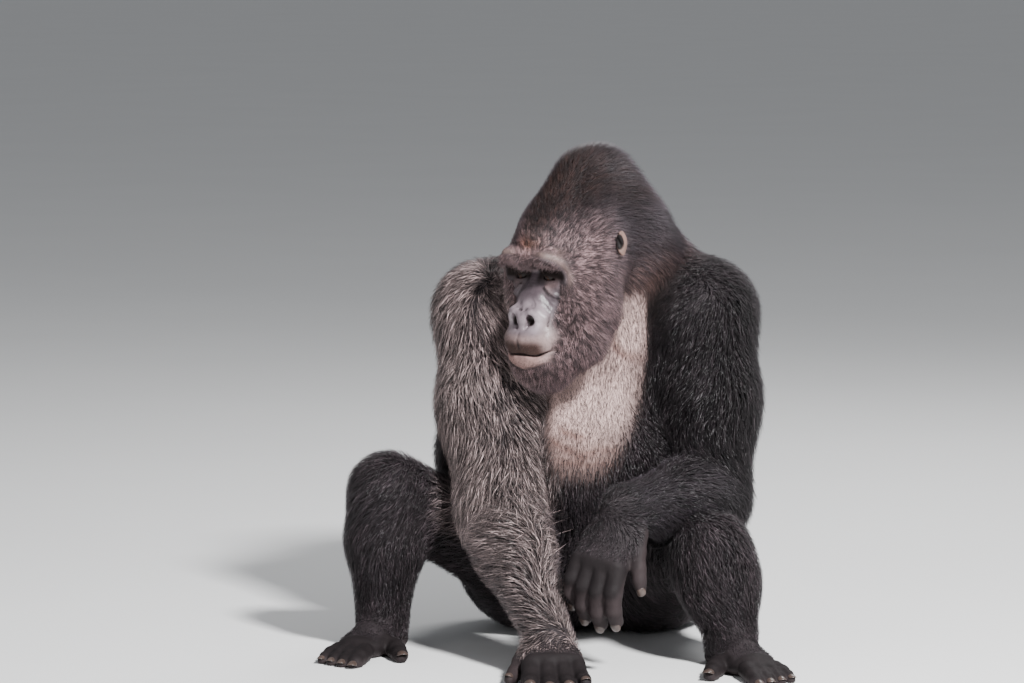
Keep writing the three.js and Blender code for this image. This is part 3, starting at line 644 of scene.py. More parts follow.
HEAD_GUIDES = (
    ((0, -26, 48), (0, 40, 120), (0, 0.5, 0.85), (0, 0.75, 0.65), (9, 16), (4, 9)),
    ((0, 70, 185), (0, 190, 214), (0, 0.95, 0.35), (0, 1, -0.2), (20, 30), (11, 16)),
    ((0, 270, 150), (0, 296, 20), (0, 0.4, -0.9), (0, 0.1, -1), (36, 52), (18, 22)),
    ((58, -4, 46), (70, 70, 112), (0.3, 0.75, 0.55), (0.15, 0.9, 0.35), (9, 20), (4, 11)),
    ((80, 8, 26), (114, 70, 34), (0.3, 0.85, -0.1), (0.1, 0.95, -0.2), (9, 22), (4, 12)),
    ((80, 10, -24), (116, 74, -20), (0.25, 0.6, -0.7), (0.1, 0.7, -0.7), (10, 24), (4, 14)),
    ((64, -8, -70), (112, 74, -70), (0.2, 0.35, -0.9), (0.1, 0.4, -0.9), (9, 30), (4, 16)),
    ((60, -12, -124), (100, 60, -126), (0.2, 0.2, -0.95), (0.1, 0.35, -0.9), (10, 34), (4, 17)),
    ((0, -58, -170), (0, -10, -214), (0, -0.25, -0.95), (0, 0.3, -0.95), (12, 26), (5, 13)),
    ((44, -40, -166), (56, 10, -196), (0.2, -0.1, -0.97), (0.1, 0.3, -0.95), (12, 28), (5, 14)),
    ((112, 140, 60), (84, 240, 60), (0.1, 0.9, -0.4), (-0.1, 0.7, -0.7), (26, 40), (14, 20)),
)


def mirrored(v):
    return np.array([-v[0], v[1], v[2]], float)


def guides():
    """All guides in the body's frame, as (a, b, flow a, flow b, lengths, depths)."""
    rows = []
    turn = HEAD[:3, :3]
    for a, b, fa, fb, lengths, depths in HEAD_GUIDES:
        for flip in (np.array, mirrored):
            ends = through(HEAD, np.array([flip(a), flip(b)], float))
            rows.append((*ends, turn @ flip(fa), turn @ flip(fb), lengths, depths))
    for s in (-1, 1):
        shoulder, elbow, wrist = SHOULDERS[s], ELBOWS[s], WRISTS[s]
        hip, knee, ankle = HIPS[s], KNEES[s], ANKLES[s]
        down_arm, up_arm, thigh = unit(elbow - shoulder), unit(elbow - wrist), unit(knee - hip)
        out = np.array([s, 0, 0], float)
        hand, foot = HAND_FRAMES[s], FOOT_FRAMES[s]
        rows += [
            (shoulder + [s * 50, -60, 70], shoulder + [s * 84, 0, -60], out * 0.5 + [0, -0.2, -0.8],
             down_arm + out * 0.15, (38, 58), (18, 22)),
            (shoulder + [-s * 40, -100, 20], shoulder + [-s * 20, -110, -110],
             [-s * 0.55, -0.3, -0.8], down_arm + [-s * 0.35, 0, 0], (34, 56), (15, 20)),
            (shoulder + [s * 30, 90, 10], shoulder + [s * 40, 60, -180],
             [s * 0.1, 0.2, -1], down_arm, (50, 68), (20, 26)),
            (shoulder * 0.4 + elbow * 0.6, elbow,
             down_arm, down_arm + [0, 0.2, -0.5], (64, 70), (24, 26)),
            (elbow * 0.8 + wrist * 0.2, elbow * 0.25 + wrist * 0.75, up_arm + [s * 0.5, 0.1, -0.9],
             up_arm + [s * 0.35, 0, -0.7], (62, 40), (22, 14)),
            (wrist, through(hand, np.array([[0, -96.0, 20]]))[0],
             hand[:3, :3] @ [0, 0.6, 0.1] + [s * 0.4, 0, -0.3], hand[:3, :3] @ [0, -1.0, 0],
             (30, 12), (10, 3)),
            (hip + [s * 60, -60, 60], knee, thigh + [0, 0, -0.25], thigh + [0, 0, -0.5],
             (50, 38), (22, 13)),
            (knee, ankle, unit(ankle - knee) + out * 0.2, unit(ankle - knee), (36, 30), (13, 10)),
            (*through(foot, np.array([[0, 10.0, 60], [0, -112.0, 40]])),
             foot[:3, :3] @ [0, -1, -0.2], foot[:3, :3] @ [0, -1, -0.1], (20, 9), (6, 2)),
            ([s * 110, 250, 110], [s * 180, 160, 60],
             [s * 0.2, 0.3, -1], [s * 0.5, 0.1, -0.8], (38, 34), (15, 12)),
            ([s * 240, 60, 480], [s * 270, 40, 260],
             [s * 0.1, 0, -1], [s * 0.1, 0, -1], (56, 52), (22, 20)),
            ([s * 60, -30, 700], [s * 120, -10, 690],
             [s * 0.6, -0.4, -0.6], [s * 0.9, -0.2, -0.4], (40, 40), (18, 18)),
            ([s * 140, -150, 360], [s * 120, -190, 260],
             [s * 0.5, -0.2, -0.9], [s * 0.3, 0, -1], (36, 40), (14, 15)),
        ]
    rows += [
        ([0, 190, 690], [0, 290, 420], [0, 0.4, -0.9], [0, 0.1, -1], (48, 26), (20, 12)),
        ([0, 290, 420], [0, 280, 160], [0, 0.05, -1], [0, 0, -1], (24, 28), (11, 12)),
        ([-20, -160, 610], [0, -205, 420], [0, -0.1, -1], [0, 0, -1], (16, 20), (5, 6)),
        ([0, -205, 420], [0, -190, 240], [0, 0, -1], [0, 0.2, -1], (24, 34), (8, 12)),
    ]
    return [[np.array(x, float) for x in row] for row in rows]


GUIDES = guides()


def lie(p):
    """Flow, length and depth of the coat at points, from the nearest guides."""
    total = np.full(len(p), 1e-12)
    flow, size = np.zeros((len(p), 3)), np.zeros((len(p), 2))
    for a, b, flow_a, flow_b, lengths, depths in GUIDES:
        along = b - a
        t = np.clip((p - a) @ along / (along @ along), 0, 1)
        q = p - a - t[:, None] * along
        w = 1 / np.square(np.einsum("ij,ij->i", q, q) + 60)
        total += w
        flow += (w * (1 - t))[:, None] * flow_a + (w * t)[:, None] * flow_b
        size[:, 0] += w * (lengths[0] + (lengths[1] - lengths[0]) * t)
        size[:, 1] += w * (depths[0] + (depths[1] - depths[0]) * t)
    return unit(flow), size[:, 0] / total, size[:, 1] / total


# ---- Meshing: one vertex in each grid cell that the surface crosses ------------------------------

CORNERS = np.array([[i & 1, i >> 1 & 1, i >> 2 & 1] for i in range(8)])
EDGES = [(a, b) for a in range(8) for b in range(a + 1, 8) if a ^ b in (1, 2, 4)]
BLOCK = 4


def sample(field, low, high, step, margin=0.0):
    """The field on a grid. Blocks that are far from the surface get the value at their middle."""
    cells = np.ceil((np.array(high) - low) / (step * BLOCK)).astype(int)
    middles = np.stack(np.meshgrid(*[np.arange(n) + 0.5 for n in cells], indexing="ij"), -1)
    middle = field(low + step * BLOCK * middles.reshape(-1, 3)).reshape(cells)
    filled = np.ones((BLOCK,) * 3)
    values = np.pad(np.kron(middle, filled), ((0, 1),) * 3, mode="edge")
    close = np.kron(np.abs(middle) < BLOCK * step * 1.25 + margin, filled).astype(bool)
    wanted = np.zeros(values.shape, bool)
    for i, j, k in CORNERS:
        wanted[i : i + close.shape[0], j : j + close.shape[1], k : k + close.shape[2]] |= close
    values[wanted] = field(low + step * np.argwhere(wanted))
    return values


def untangle(values):
    """Flips the weakest corner of each grid square whose corners alternate, for a manifold net."""
    for _ in range(10):
        found = 0
        for axis in range(3):
            v = np.moveaxis(values, axis, 2)
            s = v < 0
            near_corner, far_corner = s[:-1, :-1], s[1:, 1:]
            mixed = (near_corner == far_corner) & (s[1:, :-1] == s[:-1, 1:])
            at = np.argwhere(mixed & (near_corner != s[1:, :-1]))
            found += len(at)
            if not len(at):
                continue
            square = at[:, None] + [[0, 0, 0], [1, 0, 0], [1, 1, 0], [0, 1, 0]]
            held = v[square[..., 0], square[..., 1], square[..., 2]]
            weak = square[np.arange(len(at)), np.abs(held).argmin(1)]
            i, j, k = weak.T
            v[i, j, k] = -np.sign(v[i, j, k]) * 1e-3
        if not found:
            return


def net(values, low, step):
    """Points and quads of the surface where the values change sign."""
    values[[0, -1]] = values[:, [0, -1]] = values[:, :, [0, -1]] = step
    untangle(values)
    inside = values < 0
    size = np.array(values.shape) - 1
    part = [inside[i : i + size[0], j : j + size[1], k : k + size[2]] for i, j, k in CORNERS]
    count = np.sum(part, axis=0, dtype=np.int8)
    active = (count > 0) & (count < 8)
    cells = np.argwhere(active)
    v = np.stack([values[tuple((cells + c).T)] for c in CORNERS], 1)
    total, hits = np.zeros((len(cells), 3)), np.zeros(len(cells))
    for a, b in EDGES:
        cross = (v[:, a] < 0) != (v[:, b] < 0)
        t = v[cross, a] / (v[cross, a] - v[cross, b])
        total[cross] += CORNERS[a] + t[:, None] * (CORNERS[b] - CORNERS[a])
        hits[cross] += 1
    index = np.full(active.shape, -1)
    index[active] = np.arange(len(cells))
    quads = []
    for axis in range(3):
        s = np.moveaxis(inside, axis, 0)
        at = np.moveaxis(inside, axis, 0)[1:] != s[:-1]
        at = np.argwhere(np.moveaxis(at, 0, axis))
        u, w = np.eye(3, dtype=int)[(axis + 1) % 3], np.eye(3, dtype=int)[(axis + 2) % 3]
        ring = np.stack([index[tuple((at - d).T)] for d in (u + w, w, 0 * u, u)], 1)
        back = ~inside[tuple(at.T)]
        ring[back] = ring[back][:, ::-1]
        quads.append(ring)
    return low + step * (cells + total / hits[:, None]), np.concatenate(quads)


def drawn_onto(points, field, step, rounds=2):
    """The points moved along the field's slope until they lie on its surface."""
    h = 0.25 * step
    d = field(points)
    slope = np.stack([field(points + h * e) - d for e in np.eye(3)], 1) / h
    slope /= np.maximum(np.einsum("ij,ij->i", slope, slope), 0.2)[:, None]
    for _ in range(rounds):
        points = points - np.clip(d, -0.5 * step, 0.5 * step)[:, None] * slope
        d = field(points)
    return points


def surface(field, low, high, step):
    low = np.array(low, float)
    points, quads = net(sample(field, low, high, step), low, step)
    return drawn_onto(points, field, step), quads


def new_piece(name, points, faces, smooth_shaded=True):
    """A mesh object from body-frame points and faces that all have the same number of corners."""
    faces = np.asarray(faces)
    sides = faces.shape[1]
    mesh = bpy.data.meshes.new(name)
    mesh.vertices.add(len(points))
    mesh.vertices.foreach_set("co", to_scene(points).astype(np.float32).ravel())
    mesh.loops.add(faces.size)
    mesh.loops.foreach_set("vertex_index", faces.astype(np.int32).ravel())
    mesh.polygons.add(len(faces))
    mesh.polygons.foreach_set("loop_start", np.arange(0, faces.size, sides, dtype=np.int32))
    mesh.polygons.foreach_set("use_smooth", np.full(len(faces), smooth_shaded))
    mesh.update(calc_edges=True)
    piece = bpy.data.objects.new(name, mesh)
    bpy.context.scene.collection.objects.link(piece)
    return piece


# ---- The skin: one closed mesh, coarse under the coat and fine where it is bare ------------------


class Patch:
    """A part of the skin that is meshed finer. Its rim sinks below the skin around it."""

    def __init__(self, field, clip, low, high, step):
        self.field, self.clip, self.low, self.high, self.step = field, clip, low, high, step

    def shape(self, p):
        clip = self.clip(p)
        return np.maximum(self.field(p) + 3 * smooth(-22, -2, clip), clip)

    def hollow(self, p):
        """How far the coarse skin stays below this patch."""
        return 12 * smooth(-10, -34, self.clip(p))


def skinned(shape):
    """A shape of the coat's outline, moved in by the coat's depth where it isn't bare."""

    def distance(p):
        d = shape(p)
        coated = 1 - bareness(p)
        close = (np.abs(d) < 50) & (coated > 0.001)
        d[close] += lie(p[close])[2] * coated[close]
        return np.maximum(d, -p[:, 2])

    return distance


def around(matrix, middle, half):
    """The body-frame box that holds a box of a local frame."""
    corners = through(matrix, np.array(middle) + (CORNERS * 2 - 1) * half)
    return corners.min(0), corners.max(0)


def patches():
    head = placed(detailed_head(), HEAD)
    clip = placed(block([0, -56, -55], [108, 104, 136], 44), HEAD)
    found = [Patch(skinned(head), clip, *around(HEAD, [0, -20, -55], [108, 70, 136]), 2.1)]
    for s in (-1, 1):
        ear = ear_frame(s)
        clip = placed(lump([-2, 0, 0], [26, 36, 42]), ear)
        shape = joined(head, placed(ear_detail(), ear), through(ear, np.zeros((1, 3)))[0], 60, 4)
        found.append(Patch(skinned(shape), clip, *around(ear, [-2, 0, 0], [26, 36, 42]), 1.8))
        hand = HAND_FRAMES[s]
        clip = placed(lump([0, -120, -10], [130, 180, 130]), hand)
        low, high = around(hand, [0, -105, -10], [85, 140, 80])
        found.append(Patch(skinned(arm_and_hand(s)), clip, low, high, 3.3))
        foot = FOOT_FRAMES[s]
        clip = placed(lump([0, -80, 20], [110, 170, 90]), foot)
        low, high = around(foot, [0, -75, 40], [100, 170, 70])
        found.append(Patch(skinned(leg_and_foot(s)), clip, low, high, 3.9))
    return found


def ear_detail():
    """The ear's rim, its bowl and the small flap in front of it."""
    disc = blend(4, lump([0, 0, 2], [11, 15, 23.5]), lump([2, -1, -17], [8, 8.5, 10]))
    bowl = carve(disc, 2.5, lump([12, -6, 4], [13, 10, 15]), limb([9, 4, 17], [9, 9, 2], 3.2, 2.6))
    flap, ridge = limb([4, -12, -9], [6, -13, -1], 4, 3.2), limb([2, -2, 15], [4, 4, 0], 3.4, 3.2)
    return blend(2.5, bowl, flap, ridge)


def united(body, others):
    """The body's mesh joined with the other pieces, which are then deleted."""
    for other in others:
        join = body.modifiers.new("join", "BOOLEAN")
        join.operation, join.solver, join.object = "UNION", "MANIFOLD", other
    graph = bpy.context.evaluated_depsgraph_get()
    mesh = bpy.data.meshes.new_from_object(body.evaluated_get(graph))
    body.modifiers.clear()
    body.data = mesh
    for other in others:
        bpy.data.objects.remove(other)
    return body


class Outline:
    LOW = np.array([-500.0, -640.0, -30.0])
    HIGH = np.array([370.0, 340.0, 960.0])
    STEP = 12.0

    def __init__(self):
        body = body_shape(carve(plain_head, 6, SOCKET))
        self.values = sample(body, self.LOW, self.HIGH, self.STEP, margin=45)

    def at(self, p):
        q = np.clip((p - self.LOW) / self.STEP, 0, np.array(self.values.shape) - 1.001)
        i = q.astype(int)
        f = q - i
        total = np.zeros(len(p))
        for c in CORNERS:
            share = np.prod(np.where(c, f, 1 - f), axis=1)
            total += share * self.values[tuple((i + c).T)]
        return total

    def slope(self, p):
        h = self.STEP / 2
        return unit(np.stack([self.at(p + h * e) - self.at(p - h * e) for e in np.eye(3)], 1))


def skin_piece(outline):
    """The skin as one closed mesh."""
    fine = patches()
    others = []
    for i, patch in enumerate(fine):
        points, quads = surface(patch.shape, patch.low - 3, patch.high + 3, patch.step)
        others.append(new_piece(f"patch_{i}", points, quads))
    values = outline.values.copy()
    near_it = np.abs(values) < 60
    p = outline.LOW + outline.STEP * np.argwhere(near_it)
    depth = lie(p)[2] * (1 - bareness(p))
    for patch in fine:
        inside = np.all((p > patch.low - 30) & (p < patch.high + 30), axis=1)
        depth[inside] += patch.hollow(p[inside])
    values[near_it] = np.maximum(values[near_it] + depth, -p[:, 2])
    points, quads = net(values, outline.LOW, outline.STEP)
    skin = united(new_piece("skin", points, quads), others)
    skin.name = skin.data.name = "skin"
    return skin


# ---- Colours and finishes ------------------------------------------------------------------------


def linear(code):
    """A linear colour from an sRGB hex value."""
    parts = np.array([int(code[i : i + 2], 16) / 255 for i in (1, 3, 5)])
    return np.where(parts <= 0.04045, parts / 12.92, ((parts + 0.055) / 1.055) ** 2.4)


def add(nodes, kind, links=(), **settings):
    """Adds a node. Settings are properties or inputs by name; links are (input, output socket)."""
    node = nodes.nodes.new(kind)
    for key, value in settings.items():
        name = key.replace("_", " ")
        if hasattr(node, key):
            setattr(node, key, value)
        elif name in node.inputs:
            node.inputs[name].default_value = value
    for socket, source in links:
        nodes.links.new(source, node.inputs[socket])
    return node


def new_finish(name):
    finish = bpy.data.materials.new(name)
    finish.use_nodes = True
    nodes = finish.node_tree
    nodes.nodes.clear()
    return finish, nodes


def ended(nodes, shader):
    add(nodes, "ShaderNodeOutputMaterial", [("Surface", shader.outputs["BSDF"])])


def gorilla_hair():
    """Hair, grown: coarse dark keratin, with a soft grey sheen along the lit side of each lock."""
    finish, nodes = new_finish("gorilla_hair")
    colour = add(nodes, "ShaderNodeAttribute", attribute_name="hair")
    shader = add(
        nodes, "ShaderNodeBsdfPrincipled", [("Base Color", colour.outputs["Color"])],
        Roughness=0.4, IOR=1.55, Specular_IOR_Level=0.38, Sheen_Weight=0.1, Sheen_Roughness=0.35,
    )
    shader.inputs["Sheen Tint"].default_value = (*linear("#a79aa6"), 1)
    ended(nodes, shader)
    return finish


def gorilla_skin():
    """Skin, living: thick and creased, oily on the nose and dry on the palms (alpha tells)."""
    finish, nodes = new_finish("gorilla_skin")
    colour = add(nodes, "ShaderNodeAttribute", attribute_name="skin")
    place = add(nodes, "ShaderNodeTexCoord")
    spot = [("Vector", place.outputs["Object"])]
    # Pores of about 1.4 mm, coarser than the real 0.5 mm so that they show.
    pores = add(nodes, "ShaderNodeTexNoise", spot, Scale=1 / 0.0014, Detail=2.0)
    # Blotches about 25 mm across.
    blotch = add(nodes, "ShaderNodeTexNoise", spot, Scale=1 / 0.025, Detail=5.0)
    # Creases 7 mm apart, which run mostly down the body.
    drawn = add(nodes, "ShaderNodeMapping", spot)
    drawn.inputs["Scale"].default_value = (1.0, 1.0, 0.45)
    creases = add(
        nodes, "ShaderNodeTexNoise", [("Vector", drawn.outputs["Vector"])],
        Scale=1 / 0.007, Detail=5.0,
    )
    tone = add(
        nodes, "ShaderNodeMapRange", [("Value", blotch.outputs["Fac"])],
        From_Min=0.3, From_Max=0.7, To_Min=0.8, To_Max=1.15,
    )
    shaded = add(
        nodes, "ShaderNodeVectorMath",
        [(0, colour.outputs["Color"]), ("Scale", tone.outputs["Result"])], operation="SCALE",
    )
    rough = add(
        nodes, "ShaderNodeMapRange", [("Value", colour.outputs["Alpha"])], To_Min=0.66, To_Max=0.38,
    )
    gloss = add(
        nodes, "ShaderNodeMapRange", [("Value", colour.outputs["Alpha"])], To_Min=0.12, To_Max=0.5,
    )
    relief = add(
        nodes, "ShaderNodeMath", [(0, pores.outputs["Fac"]), (2, creases.outputs["Fac"])],
        operation="MULTIPLY_ADD",
    )
    relief.inputs[1].default_value = 0.3
    bump = add(
        nodes, "ShaderNodeBump", [("Height", relief.outputs["Value"])],
        Strength=0.6, Distance=0.0014,
    )
    shader = add(
        nodes, "ShaderNodeBsdfPrincipled",
        [("Base Color", shaded.outputs["Vector"]), ("Roughness", rough.outputs["Result"]),
         ("Specular IOR Level", gloss.outputs["Result"]), ("Normal", bump.outputs["Normal"])],
        IOR=1.45,
    )
    ended(nodes, shader)
    return finish


def wet_eye():
    """The eye, living: a tear film gives a sharp highlight on a dark brown iris."""
    finish, nodes = new_finish("wet_eye")
    colour = add(nodes, "ShaderNodeAttribute", attribute_name="eye")
    shader = add(
        nodes, "ShaderNodeBsdfPrincipled", [("Base Color", colour.outputs["Color"])],
        Roughness=0.3, IOR=1.376, Specular_IOR_Level=0.15,
        Coat_Weight=0.2, Coat_Roughness=0.03, Coat_IOR=1.376,
    )
    ended(nodes, shader)
    return finish


def worn_nail():
    """Nail, grown keratin: dark horn, polished by use, with faint clouds 4 mm across."""
    finish, nodes = new_finish("worn_nail")
    place = add(nodes, "ShaderNodeTexCoord")
    cloud = add(
        nodes, "ShaderNodeTexNoise", [("Vector", place.outputs["Object"])],
        Scale=1 / 0.004, Detail=3.0,
    )
    shade = add(nodes, "ShaderNodeMix", [("Factor", cloud.outputs["Fac"])], data_type="RGBA")
    shade.inputs[6].default_value = (*linear("#221c1b"), 1)
    shade.inputs[7].default_value = (*linear("#5a4b45"), 1)
    bump = add(
        nodes, "ShaderNodeBump", [("Height", cloud.outputs["Fac"])], Strength=0.3, Distance=0.0003
    )
    shader = add(
        nodes, "ShaderNodeBsdfPrincipled",
        [("Base Color", shade.outputs[2]), ("Normal", bump.outputs["Normal"])],
        Roughness=0.32, IOR=1.54,
    )
    ended(nodes, shader)
    return finish


def painted_floor():
    """Floor, painted: matt and pale, so that it doesn't compete with the animal."""
    finish, nodes = new_finish("matt_paint")
    place = add(nodes, "ShaderNodeTexCoord")
    # Faint clouds about 0.7 m across.
    cloud = add(
        nodes, "ShaderNodeTexNoise", [("Vector", place.outputs["Object"])], Scale=1.5, Detail=4.0
    )
    tone = add(
        nodes, "ShaderNodeMapRange", [("Value", cloud.outputs["Fac"])], To_Min=0.8, To_Max=0.84,
    )
    shader = add(
        nodes, "ShaderNodeBsdfPrincipled", [("Base Color", tone.outputs["Result"])], Roughness=0.85
    )
    ended(nodes, shader)
    return finish


def blot(distance_x, distance_z):
    """A soft round mark: 1 at its middle, fading with the distances, given in its half widths."""
    return np.exp(-np.square(distance_x) - np.square(distance_z))


def coat_colour(p):
    """The coat's colour at points of the body, before each lock varies."""
    q = into(HEAD, p)
    settings = bpy.context.scene.gorilla_coat
    dark, brown, silver = np.array(settings.dark), linear("#5a3420"), np.array(settings.silver)
    grey, warm, painted_shade_black = linear("#80696a"), linear("#1f1009"), linear("#1a1618")
    colour = np.tile(dark, (len(p), 1))

    def mix(share, other):
        return colour + share[:, None] * (other - colour)

    in_head = smooth(250, 200, np.linalg.norm(q - [0, 60, 0], axis=1))
    # Painted light: the fur of the face and cheeks is a lighter grey, for sun glancing off black
    # hair.
    colour = mix(in_head * 0.75 * smooth(120, 40, q[:, 2]) * smooth(150, 90, q[:, 1]), grey)
    colour = mix(in_head * 0.8 * smooth(60, 130, q[:, 2]) * smooth(90, 40, np.abs(q[:, 0])), warm)
    front = smooth(60, 20, q[:, 1]) * in_head
    colour = mix(front * 0.8 * blot((q[:, 0] - 16) / 25, (q[:, 2] - 88) / 34), warm)
    colour = mix(front * 0.75 * blot((q[:, 0] - 2) / 22, (q[:, 2] - 54) / 11), brown)
    saddle = smooth(120, 200, p[:, 1]) * smooth(660, 540, p[:, 2])
    colour = mix(saddle * smooth(330, 200, np.abs(p[:, 0])) * 0.75, silver)
    throat = np.exp(-np.square(np.linalg.norm((p - [68, -60, 676]) / [56, 90, 54], axis=1)))
    colour = mix(0.85 * throat, linear("#a47d72"))
    # Painted light: the front of the right arm is lighter, as if the sun fell on it.
    painted_sun_right_arm = smooth(40, 0, arm_distance(p, -1)) * smooth(30, -60, p[:, 1])
    colour = mix(0.75 * painted_sun_right_arm, linear("#80716f"))
    # Painted shade: the left arm is blacker than the rest, as if it lay in shade.
    colour = mix(0.8 * smooth(40, 0, arm_distance(p, 1)), painted_shade_black)
    colour = mix(0.8 * bare_chest(p), linear("#3d3232"))
    return np.clip(colour, 0, 1)


def skin_colour(p):
    """The skin's colour, and how oily it is, at points of the body."""
    q = into(HEAD, p)
    x, y, z = np.abs(q[:, 0]), q[:, 1], q[:, 2]
    colour = np.tile(linear("#2a2527"), (len(p), 1))
    oil = np.full(len(p), 0.2)

    def mix(share, code):
        return colour + share[:, None] * (linear(code) - colour)

    face = bare_face(q) * (np.linalg.norm(q - [0, 0, -50], axis=1) < 190)
    oil = np.maximum(oil, face)
    colour = mix(face, "#4b4146")
    colour = mix(face * smooth(-90, -112, z), "#8b7674")
    colour = mix(face * smooth(-134, -142, z), "#8f726d")
    # The flanks of the nose are paler skin, lightened further as a painted highlight.
    flank = smooth(-30, -50, z) * smooth(-104, -88, z) * smooth(50, 38, x) * smooth(-22, -34, y)
    colour = mix(face * flank * 0.75, "#7f7278")
    # Painted highlight: the wings of the nose are lighter where light would catch them.
    wing = blot((x - 35) / 12, (z + 74) / 17) * smooth(-22, -32, y)
    colour = mix(face * wing * 0.7, "#a89ca1")
    # The bare arch of each brow is paler skin, and also a painted highlight along its lit ridge.
    arch = blot((eye_ring(q) - 0.88) / 0.11, 0) * smooth(6, 34, x) * smooth(-30, -4, z)
    colour = mix(smooth(44, 26, y) * arch * 0.6, "#7a6660")
    cheek = smooth(-56, -92, z) * smooth(30, 56, x)
    colour = mix(face * cheek * 0.7, "#8b7876")
    lip = smooth(-102, -120, z) * smooth(-140, -133, z) * smooth(56, 36, x)
    colour = mix(face * lip * 0.92, "#29140b")
    # Painted shade: the skin is darkened in the grooves between the folds of the face.
    painted_crease_shade = np.zeros(len(p))
    near_it = face > 0.2
    right = np.column_stack([x, y, z])[near_it]
    for points, width, height in FOLDS:
        if height < 0:
            depth = fold_height(right, points, width * 0.9, 1)
            painted_crease_shade[near_it] = np.maximum(painted_crease_shade[near_it], depth)
    colour = mix(face * painted_crease_shade * 0.75, "#1b1416")
    # Painted shade: the sockets are darkened where the brows would shade the eyes.
    painted_orbit_shade = smooth(0.86, 0.6, eye_ring(q)) * smooth(-20, -2, z) * smooth(4, 14, x)
    colour = mix(face * painted_orbit_shade * 0.96, "#130c09")
    bag = blot((x - 44) / 16, (z + 16) / 8)
    colour = mix(face * bag * 0.6, "#54403f")
    # Painted shade: the nostrils are darkened inside.
    painted_nostril_shade = np.linalg.norm((np.column_stack([x, y, z]) - [18, -44, -76]) / [10, 10, 13], axis=1)
    colour = mix(face * smooth(1.1, 0.7, painted_nostril_shade), "#1c1210")
    chest_share = bare_chest(p)
    colour = mix(chest_share, "#c0a39d")
    colour = mix(chest_share * smooth(450, 340, p[:, 2]) * 0.45, "#84685f")
    # Painted shade: the skin is darkened along the creases of the chest.
    for points, width in CHEST_CREASE_SHADES:
        chest_crease_shade = fold_height(p * [1, 0, 1], points, width, 1)
        colour = mix(chest_share * chest_crease_shade * 0.75, "#6d4a42")
    colour = mix(bare_ears(p), "#6d5751")
    # Painted shade: the bowl of each ear is darkened.
    for s in (-1, 1):
        bowl = np.linalg.norm((into(ear_frame(s), p) - [7, -6, 4]) / [10, 10.5, 15], axis=1)
        colour = mix(smooth(1.05, 0.85, bowl), "#120d0e")
    oil = np.maximum(oil * (1 - painted_orbit_shade) * (1 - 0.75 * smooth(-96, -112, z)), chest_share * 0.3)
    for s in (-1, 1):
        bare, r = bare_palm(p, s), into(HAND_FRAMES[s], p)
        colour = mix(bare, "#1e1a1b")
        colour = mix(bare * smooth(0, -12, r[:, 2]), "#2f2829")
        r = into(FOOT_FRAMES[s], p)
        colour = mix(bare_foot(r), "#1e1a1b")
        colour = mix(bare_foot(r) * smooth(22, 8, r[:, 2]), "#2f2829")
    return np.clip(colour, 0, 1), oil


def paint(piece, name, colours, alpha=None):
    """A colour for each vertex of a piece."""
    values = np.ones((len(colours), 4), np.float32)
    values[:, :3] = colours
    if alpha is not None:
        values[:, 3] = alpha
    layer = piece.data.color_attributes.new(name, "FLOAT_COLOR", "POINT")
    layer.data.foreach_set("color", values.ravel())


def vertices_of(piece):
    co = np.empty(len(piece.data.vertices) * 3, np.float32)
    piece.data.vertices.foreach_get("co", co)
    return to_body(co.reshape(-1, 3).astype(float))


def unwrap(piece):
    """An unwrap of the skin's own shape, in a layer named OFBake."""
    mesh = piece.data
    while mesh.uv_layers:
        mesh.uv_layers.remove(mesh.uv_layers[0])
    mesh.uv_layers.new(name="OFBake")
    bpy.ops.object.select_all(action="DESELECT")
    piece.select_set(True)
    bpy.context.view_layer.objects.active = piece
    bpy.ops.object.mode_set(mode="EDIT")
    bpy.ops.mesh.select_all(action="SELECT")
    bpy.ops.uv.smart_project(angle_limit=math.radians(66), island_margin=0.002)
    bpy.ops.object.mode_set(mode="OBJECT")


# ---- The coat ------------------------------------------------------------------------------------


class Hide:
    """What the coat grows from: the skin's triangles, with their normals and unwrap."""

    def __init__(self, skin):
        mesh = skin.data
        mesh.calc_loop_triangles()
        count = len(mesh.loop_triangles)
        loops, corners = np.empty(count * 3, np.int32), np.empty(count * 3, np.int32)
        mesh.loop_triangles.foreach_get("loops", loops)
        mesh.loop_triangles.foreach_get("vertices", corners)
        at = vertices_of(skin)
        normals = np.empty(len(at) * 3, np.float32)
        mesh.vertices.foreach_get("normal", normals)
        uv = np.empty(len(mesh.loops) * 2, np.float32)
        mesh.uv_layers["OFBake"].uv.foreach_get("vector", uv)
        corners = corners.reshape(-1, 3)
        self.at = at[corners]
        self.normal = normals.reshape(-1, 3)[corners].astype(float)
        self.uv = uv.reshape(-1, 2)[loops.reshape(-1, 3)].astype(float)
        edges = self.at[:, 1:] - self.at[:, :1]
        self.area = np.linalg.norm(np.cross(edges[:, 0], edges[:, 1]), axis=1) / 2
        self.middle = self.at.mean(1)

    def scatter(self, density, rng):
        """Roots at a density per square millimetre: places, normals and places on the unwrap."""
        edges = np.cumsum(self.area * density)
        steps = np.arange(int(edges[-1])) + rng.random(int(edges[-1]))
        tri = np.minimum(np.searchsorted(edges, steps), len(edges) - 1)
        a, b = rng.random((2, len(tri)))
        flip = a + b > 1
        a[flip], b[flip] = 1 - a[flip], 1 - b[flip]
        w = np.stack([1 - a - b, a, b], 1)[:, :, None]
        roots, normals = (self.at[tri] * w).sum(1), unit((self.normal[tri] * w).sum(1))
        return roots, normals, (self.uv[tri] * w).sum(1)


# Waves in the lie of the hair, and patches in its colour, as radians per millimetre along X, Y and Z.
SWAY = ((0.021, 0.034, 0.027), (-0.03, 0.018, 0.033), (0.026, -0.031, 0.02))
PATCHES = ((0.31, 0.42, 0.2), (-0.4, 0.22, 0.35), (0.25, -0.36, 0.42), (0.09, 0.13, -0.1))
# The middle of no lock lies lower than this, in millimetres.
FLOOR_GAP = 2.5
# The most triangles in one piece, and the side of each lock's patch on the unwrap.
MOST_TRIANGLES = 190000
UNWRAP_PATCH = 0.003


